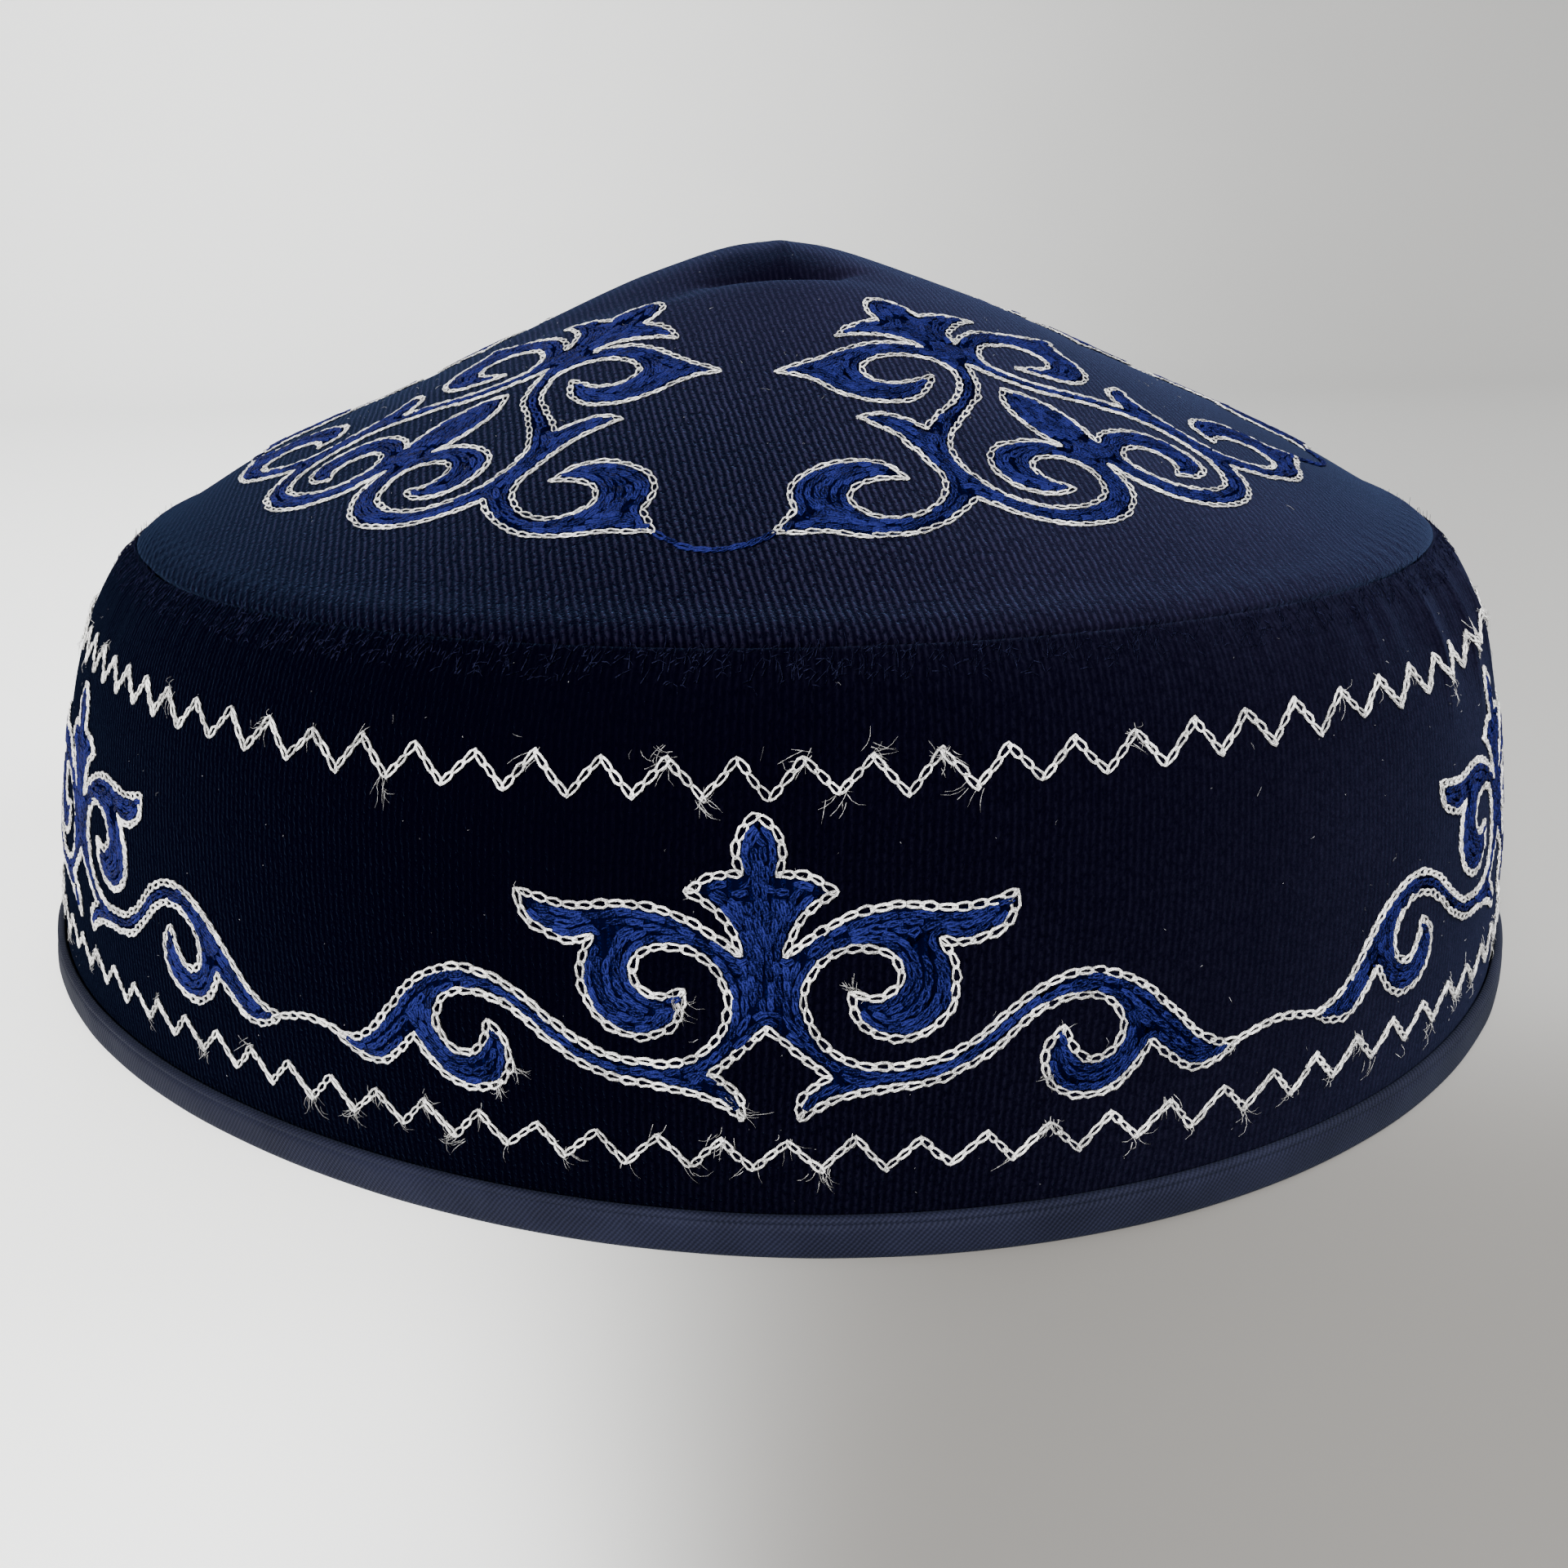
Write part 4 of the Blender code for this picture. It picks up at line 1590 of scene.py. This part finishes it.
@dataclass
class Embroidery:
    """All the chain stitch of the cap: figures, the links between them and the two zigzags."""

    form: CapForm
    white: Material
    blue: Material
    under: Material
    outline_stitch: ChainStitch = ChainStitch()
    crown_stitch: ChainStitch = ChainStitch(half_width=0.27 * MM, thread=0.090 * MM)
    zigzag_stitch: ChainStitch = ChainStitch(
        half_width=0.29 * MM, thread=0.118 * MM, high=0.28 * MM)
    link_stitch: ChainStitch = ChainStitch(
        pitch=1.5 * MM, half_width=0.24 * MM, thread=0.15 * MM)
    fill_stitch: ChainStitch = ChainStitch(
        pitch=1.40 * MM, half_width=0.21 * MM, thread=0.185 * MM, low=0.10 * MM, high=0.26 * MM,
        stations=6, unevenness=0.07 * MM)
    band_tilt: float = 0.079
    tooth_height: float = 1.50 * MM
    tooth_unevenness: float = 0.10 * MM
    pieces: dict[str, list[Piece]] = field(default_factory=lambda: {"crown": [], "band": []})

    def add(self, node: str, piece: Piece, slot: str) -> None:
        """Seat a piece, and list it with its cloth."""
        seat(piece)
        self.pieces[node].append(piece)

    def sew_figures(
        self, node: str, figure: Figure, grounds: Mapping[str, Ground], stitch: ChainStitch,
        links: list[Array], seed: int,
    ) -> None:
        """Sew one ornament several times: its white outline, its blue rows and the pad under them.

        Args:
            node: The cloth's node.
            figure: The ornament.
            grounds: The cloth at each place, by name.
            stitch: The outline's stitch.
            links: Further white lines that go with each outline.
            seed: Start of the first outline's unevenness.
        """
        for number, (name, ground) in enumerate(grounds.items(), seed):
            outline = stitch.sew(
                f"{node}_outline_{name}", figure.outlines + links, ground, self.white, number)
            rows = self.fill_stitch.sew(
                f"{node}_fill_{name}", figure.rows, ground, self.blue, number + 20)
            pad = padding(f"{node}_padding_{name}", figure.pads, ground, self.under)
            self.add(node, outline, "white_thread")
            self.add(node, rows, "blue_thread")
            self.add(node, pad, "blue_thread")

    def band_ground(self, azimuth: float) -> BandGround:
        """The band's chart for a figure at an azimuth in degrees."""
        return BandGround(self.form, math.radians(azimuth), tilt=self.band_tilt)

    def crown_ground(
        self, azimuth: float, turn: float, shifted: float, side: int, aside: float, outwards: float
    ) -> CrownGround:
        """The crown's chart for a figure, from degrees and millimetres."""
        return CrownGround(
            self.form, math.radians(azimuth), turn=math.radians(turn), shifted=shifted * MM,
            side=side, aside=aside * MM, outwards=outwards * MM)

    def sew_band_figures(self) -> None:
        """Sew the band's six figures, with the white link that joins each to the next."""
        pitch = TURN / len(BAND_FIGURES) * CHART_RADIUS
        tip = np.array(max(BAND_HALF_MM)[:2]) * MM
        half = np.array([tip, tip + (2.4 * MM, 0.7 * MM), (pitch / 2, 18.2 * MM)])
        link = np.concatenate([half, half[-2::-1] * (-1, 1) + (pitch, 0.0)])
        grounds = {name: self.band_ground(azimuth) for name, azimuth in BAND_FIGURES}
        figure = Figure(BAND_HALF_MM, upright=STEM_ROWS)
        self.sew_figures("band", figure, grounds, self.outline_stitch, [link], 10)

    def sew_crown_figures(self) -> None:
        """Sew the crown's five figures."""
        grounds = {name: self.crown_ground(*placing) for name, *placing in CROWN_FIGURES}
        figure = Figure(CROWN_HALF_MM, CROWN_OPENING_MM)
        self.sew_figures("crown", figure, grounds, self.crown_stitch, [], 50)

    def sew_crown_links(self) -> None:
        """Sew the single blue chain that hangs between neighbouring leaf tips of the crown.

        Each is a straight line in plan from tip to tip, pushed outwards by a parabola.
        """
        tip = np.array(max(CROWN_HALF_MM)[:2]) * MM
        order = sorted(CROWN_FIGURES, key=lambda figure: figure[1])
        share = np.linspace(0.0, 1.0, 24)[:, None]
        runs = []
        for here, there in zip(order, order[1:] + order[:1]):
            start = self.crown_ground(*here[1:]).plan(tip)
            end = self.crown_ground(*there[1:]).plan(tip * (-1, 1))
            bow = 0.25 * np.linalg.norm(end - start) / np.linalg.norm(start)
            line = (start * (1 - share) + end * share) * (1 + 4 * bow * share * (1 - share))
            runs.append(line * (1, -1))
        links = self.link_stitch.sew("crown_links", runs, CrownGround(self.form), self.blue, 90)
        self.add("crown", links, "blue_thread")

    def teeth(self, table: Table, seed: int) -> Array:
        """Corners of a zigzag on the band's chart.

        Smooth curves through the table give the way along and the height at every half tooth, and
        whole teeth stand up while halves hang down.

        Args:
            table: Tooth number, way along and height.
            seed: Start of the corners' unevenness.

        Returns:
            The corners in metres, the last over the first.
        """
        knots = np.array(table, float)
        tooth = np.arange(2 * (knots[-1, 0] - knots[0, 0]) + 1) / 2 + knots[0, 0]
        corners = smooth_curve(tooth, knots[:, 0], knots[:, 1:]) * MM
        rng = np.random.default_rng(seed)
        corners = corners + rng.normal(0.0, self.tooth_unevenness, corners.shape)
        corners[-1] = corners[0] + (TURN * CHART_RADIUS, 0.0)
        corners[:, 1] += self.tooth_height * np.cos(TURN * tooth)
        return corners

    def sew_zigzags(self) -> dict[str, Array]:
        """Sew the two zigzags, three loops to a leg.

        Returns:
            The corners of each by its name.
        """
        share = np.linspace(0.0, 1.0, 9)[:, None]
        zigzags = {"upper_zigzag": self.teeth(UPPER_TEETH, 7),
                   "lower_zigzag": self.teeth(LOWER_TEETH, 8)}
        for seed, (name, corners) in enumerate(zigzags.items(), 92):
            legs = [a * (1 - share) + b * share for a, b in zip(corners[:-1], corners[1:])]
            piece = self.zigzag_stitch.sew(name, legs, BandGround(self.form), self.white, seed)
            self.add("band", piece, "white_thread")
        return zigzags


@dataclass
class LooseFibres:
    """Frayed ends at the stitches, pile over the seam and lint on the velvet, as fine hairs."""

    form: CapForm
    hair: float = 0.024 * MM
    root_height: float = 0.12 * MM
    fray_lift: float = 0.5 * MM
    pile_lift: float = 0.15 * MM
    bend: float = 0.9
    arch: float = 2.6

    def hairs(
        self, name: str, start: Array, heading: Array, length: Array, ground: Ground,
        material: Material, seed: int, lift: float, thick: float = 1.0, stations: int = 3,
    ) -> Piece:
        """Bent hairs that start on a chart.

        Each hair's line is its start plus its heading times the distance, with a heading that
        turns evenly on the way, and it rises and falls like half a sine.

        Args:
            name: The piece's name.
            start: Start of each hair on the chart.
            heading: Angle of each hair on the chart.
            length: Length of each hair.
            ground: The cloth.
            material: The thread.
            seed: Start of the unevenness.
            lift: How far the hairs stand off the cloth at most.
            thick: Thickness of the hairs against a thread's fibre.
            stations: Points along each hair.

        Returns:
            The piece.
        """
        rng = np.random.default_rng(seed)
        share = np.linspace(0.0, 1.0, stations)
        angle = heading[:, None] + rng.normal(0.0, self.bend, (len(start), 1)) * share
        step = np.stack([np.cos(angle), np.sin(angle)], axis=-1)
        step = step * (length[:, None, None] / (stations - 1))
        points, normals = ground.place(start[:, None] + np.cumsum(step, axis=1) - step[:, :1])
        rise = lift * rng.uniform(0.2, 1.0, (len(start), 1)) * np.sin(share * self.arch)
        thin = thick * self.hair * (1.15 - 0.6 * share) * np.ones((len(start), 1))
        centres = points + normals * (self.root_height + rise)[..., None]
        return tubes(centres, normals, thin, 3, rng.random(len(start))).piece(name, material)

    def zigzag_frays(
        self, name: str, corners: Array, share: float, material: Material, seed: int
    ) -> Piece:
        """Tufts of hairs at some of a zigzag's corners.

        Args:
            name: The piece's name.
            corners: The zigzag's corners on the chart.
            share: Share of the corners that are frayed.
            material: The thread.
            seed: Start of the unevenness.

        Returns:
            The piece.
        """
        rng = np.random.default_rng(seed)
        chosen = np.flatnonzero(rng.random(len(corners)) < share)
        counts = rng.integers(3, 16, len(chosen))
        start = np.repeat(corners[chosen], counts, axis=0)
        heading = np.repeat(rng.uniform(-2.9, -0.3, len(chosen)), counts)
        start = start + rng.normal(0.0, 0.50 * MM, start.shape)
        heading = heading + rng.normal(0.0, 0.50, len(start))
        length = rng.uniform(0.6, 2.4, len(start)) * MM
        return self.hairs(name, start, heading, length, BandGround(self.form), material, seed,
                          self.fray_lift, stations=4)

    def figure_frays(self, ground: Ground, material: Material) -> Piece:
        """Tufts at the front figure's thread ends.

        Args:
            ground: The front figure's cloth.
            material: The thread.

        Returns:
            The piece.
        """
        rng = np.random.default_rng(17)
        table = np.array(FRAYED_ENDS)
        rows = np.repeat(table, table[:, 3].astype(int), axis=0)
        start = rows[:, :2] * MM + rng.normal(0.0, 0.30 * MM, (len(rows), 2))
        heading = np.radians(rows[:, 2]) + rng.normal(0.0, 0.35, len(rows))
        length = rows[:, 4] * rng.uniform(0.45, 1.0, len(rows)) * MM
        return self.hairs("figure_frays", start, heading, length, ground, material, 18,
                          self.fray_lift, stations=4)

    def seam_pile(self, material: Material, count: int = 3400) -> Piece:
        """Pile that stands up slantwise over the upper seam.

        Args:
            material: The pile.
            count: Number of hairs.

        Returns:
            The piece.
        """
        rng = np.random.default_rng(27)
        across = rng.uniform(-math.pi, math.pi, count) * CHART_RADIUS
        up = self.form.seam_height - rng.uniform(0.1, 2.6, count) * MM
        heading = rng.normal(0.85, 0.35, count)
        length = rng.uniform(0.5, 1.6, count) * MM
        return self.hairs("seam_pile", np.stack([across, up], axis=1), heading, length,
                          BandGround(self.form), material, 28, self.pile_lift, thick=1.6)

    def lint(
        self, name: str, ground: Ground, low: Span, high: Span, count: int, material: Material,
        seed: int,
    ) -> Piece:
        """Lint scattered over a rectangle of a chart.

        Args:
            name: The piece's name.
            ground: The cloth.
            low: The rectangle's lower corner in millimetres.
            high: Its upper corner.
            count: Number of fibres.
            material: The lint.
            seed: Start of the unevenness.

        Returns:
            The piece.
        """
        rng = np.random.default_rng(seed)
        start = rng.uniform(low, high, (count, 2)) * MM
        heading = rng.uniform(0.0, TURN, count)
        length = (0.12 + 1.0 * rng.random(count) ** 4) * MM
        return self.hairs(name, start, heading, length, ground, material, seed, self.pile_lift)


@dataclass
class Studio:
    """Pale floor that sweeps up behind the cap, soft lights and the camera."""

    eye: tuple[float, float, float] = (0.003243, -0.191597, 0.082984)
    look_down: float = 0.349
    roll: float = -0.021
    lens: float = 33.23
    half_span: float = 2.4
    front_rows: tuple[float, ...] = (-2.0, -0.6, -0.2, 0.2)
    sweep_start: float = 0.75
    sweep_radius: float = 0.60
    wall_top: float = 2.2
    room_colour: Colour = (0.95, 0.97, 1.0)
    room_strength: float = 0.50

    def build_floor(self) -> None:
        """Make the floor: a level part, a quarter circle and an upright part, carried sideways.

        It lies a hair's breadth under the cap.
        """
        bend = np.linspace(0.0, math.pi / 2, 25)
        sweep = self.sweep_start + self.sweep_radius * np.sin(bend)
        y = np.concatenate([self.front_rows, sweep, sweep[-1:]])
        rise = self.sweep_radius * (1 - np.cos(bend))
        z = np.concatenate([np.zeros(len(self.front_rows)), rise, [self.wall_top]]) - 0.02 * MM
        x = np.linspace(-self.half_span, self.half_span, 13)
        points = np.stack(np.broadcast_arrays(x, y[:, None], z[:, None]), axis=-1).reshape(-1, 3)
        row, column = np.indices((len(y) - 1, len(x) - 1))
        first = row * len(x) + column
        corners = [first, first + 1, first + 1 + len(x), first + len(x)]
        quads = np.stack(corners, axis=-1).reshape(-1, 4)
        flat = points[quads.ravel()][:, :2]
        MeshParts(points, [quads], [flat]).piece("floor", PlasterFinish().material())

    def add_light(
        self, name: str, place: tuple[float, float, float], size: float, power: float,
        colour: Colour,
    ) -> None:
        """Add one soft square light that looks at the cap.

        Args:
            name: The light's name.
            place: Where it stands.
            size: Length of its sides.
            power: Its power in watts.
            colour: Its colour.
        """
        lamp = bpy.data.lights.new(name, "AREA")
        lamp.shape, lamp.size, lamp.energy, lamp.color = "SQUARE", size, power, colour
        holder = bpy.data.objects.new(name, lamp)
        bpy.context.scene.collection.objects.link(holder)
        holder.location = place
        aim = Vector((0.0, 0.0, 0.04)) - Vector(place)
        holder.rotation_euler = aim.to_track_quat("-Z", "Y").to_euler()

    def build_lights(self) -> None:
        """Light the cap softly from above on both sides, in an evenly pale room."""
        world = bpy.data.worlds.new("pale_room")
        bpy.context.scene.world = world
        world.use_nodes = True
        inputs = world.node_tree.nodes["Background"].inputs
        inputs["Color"].default_value = (*self.room_colour, 1.0)
        inputs["Strength"].default_value = self.room_strength
        self.add_light("window", (-0.35, -1.45, 0.95), 0.8, 130.0, (1.0, 0.99, 0.97))
        self.add_light("side", (1.3, 0.3, 0.9), 0.8, 26.0, (0.96, 0.98, 1.0))
        self.add_light("top", (0.1, 0.4, 1.6), 1.1, 12.0, (1.0, 1.0, 1.0))

    def build_camera(self) -> None:
        """Make the camera with the photograph's place, tilt and field of view."""
        data = bpy.data.cameras.new("camera")
        data.sensor_width, data.lens, data.clip_start = 36.0, self.lens, 0.005
        camera = bpy.data.objects.new("camera", data)
        bpy.context.scene.collection.objects.link(camera)
        ahead = np.array([0.0, math.cos(self.look_down), -math.sin(self.look_down)])
        level = np.array([1.0, 0.0, 0.0])
        raised = np.cross(level, ahead)
        right = math.cos(self.roll) * level + math.sin(self.roll) * raised
        up = math.cos(self.roll) * raised - math.sin(self.roll) * level
        pose = np.eye(4)
        pose[:3] = np.stack([right, up, -ahead, self.eye], axis=1)
        camera.matrix_world = Matrix(pose.tolist())
        bpy.context.scene.camera = camera


def main() -> None:
    """Build the cap's pieces in order, then the room round it."""
    form = CapForm().set_on_frame()
    log.info("the form is moved by %.3f and %.3f mm", form.shift[0] / MM, form.shift[1] / MM)
    white, blue, under, pile, dust = (finish.material() for finish in (
        ThreadFinish("ivory_thread", (0.09, 0.087, 0.084), (0.88, 0.87, 0.85), 0.27, 0.1, 1.0),
        ThreadFinish("royal_blue_thread", (0.0006, 0.0009, 0.006), (0.0098, 0.0118, 0.079), 0.40,
                     metal=0.12),
        # thread of the padding, near black as painted shade between the filling stitches
        ThreadFinish("blue_ground", (0.0001, 0.0004, 0.005), (0.0012, 0.0040, 0.052)),
        ThreadFinish("loose_pile", (0.001, 0.001, 0.005), (0.014, 0.015, 0.040)),
        ThreadFinish("grey_lint", (0.05, 0.05, 0.06), (0.45, 0.45, 0.47)),
    ))

    embroidery = Embroidery(form, white, blue, under)
    embroidery.sew_band_figures()
    embroidery.sew_crown_figures()
    embroidery.sew_crown_links()
    zigzags = embroidery.sew_zigzags()

    # Both velvets carry painted sheen and painted shade; the crown's copy is painted lighter, with
    # a brighter colour and a larger head-on share
    crown_velvet = VelvetFinish(
        "crown_velvet", RibCourse.FRONT_TO_BACK, bright=(0.0268, 0.0236, 0.0560), head_on=0.50,
        grazing=0.60, rim_light=0.0, rib_share=0.95, rib_power=1.6, left_shade_share=0.30,
        left_shade_span=(-0.070, 0.055), seam_shade_share=0.62, edge_shade=0.85, crease_shade=0.65, sheen=0.165)
    crown = VelvetCrown(form).build(crown_velvet.material())
    band = VelvetBand(form).build(VelvetFinish("band_velvet", RibCourse.UP_THE_BAND).material())
    binding = TwillBinding(form).build(TwillFinish().material())
    for piece, node, slot in (
        (crown, "crown", "velvet"), (band, "band", "velvet"), (binding, "binding", "twill_binding"),
    ):
        seat(piece)
        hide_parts(node)

    fibres = LooseFibres(form)
    for seed, share, (name, corners) in zip((61, 62), (0.45, 0.65), zigzags.items()):
        frays = fibres.zigzag_frays(f"{name}_frays", corners[:-1], share, white, seed)
        embroidery.add("band", frays, "white_thread")
    frays = fibres.figure_frays(embroidery.band_ground(BAND_FIGURES[0][1]), white)
    embroidery.add("band", frays, "white_thread")
    embroidery.add("band", fibres.seam_pile(pile), "velvet")
    around = math.pi * CHART_RADIUS / MM
    lint = fibres.lint("band_lint", BandGround(form), (-around, 6.0), (around, 53.0), 500, dust, 81)
    embroidery.add("band", lint, "velvet")
    lint = fibres.lint("crown_lint", CrownGround(form), (-54, -54), (54, 54), 260, dust, 82)
    embroidery.add("crown", lint, "velvet")

    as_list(embroidery.pieces["crown"])
    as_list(embroidery.pieces["band"])

    studio = Studio()
    studio.build_floor()
    studio.build_lights()
    studio.build_camera()


if __name__ == "__main__":
    logging.basicConfig(level=logging.INFO, format="%(message)s")
    main()
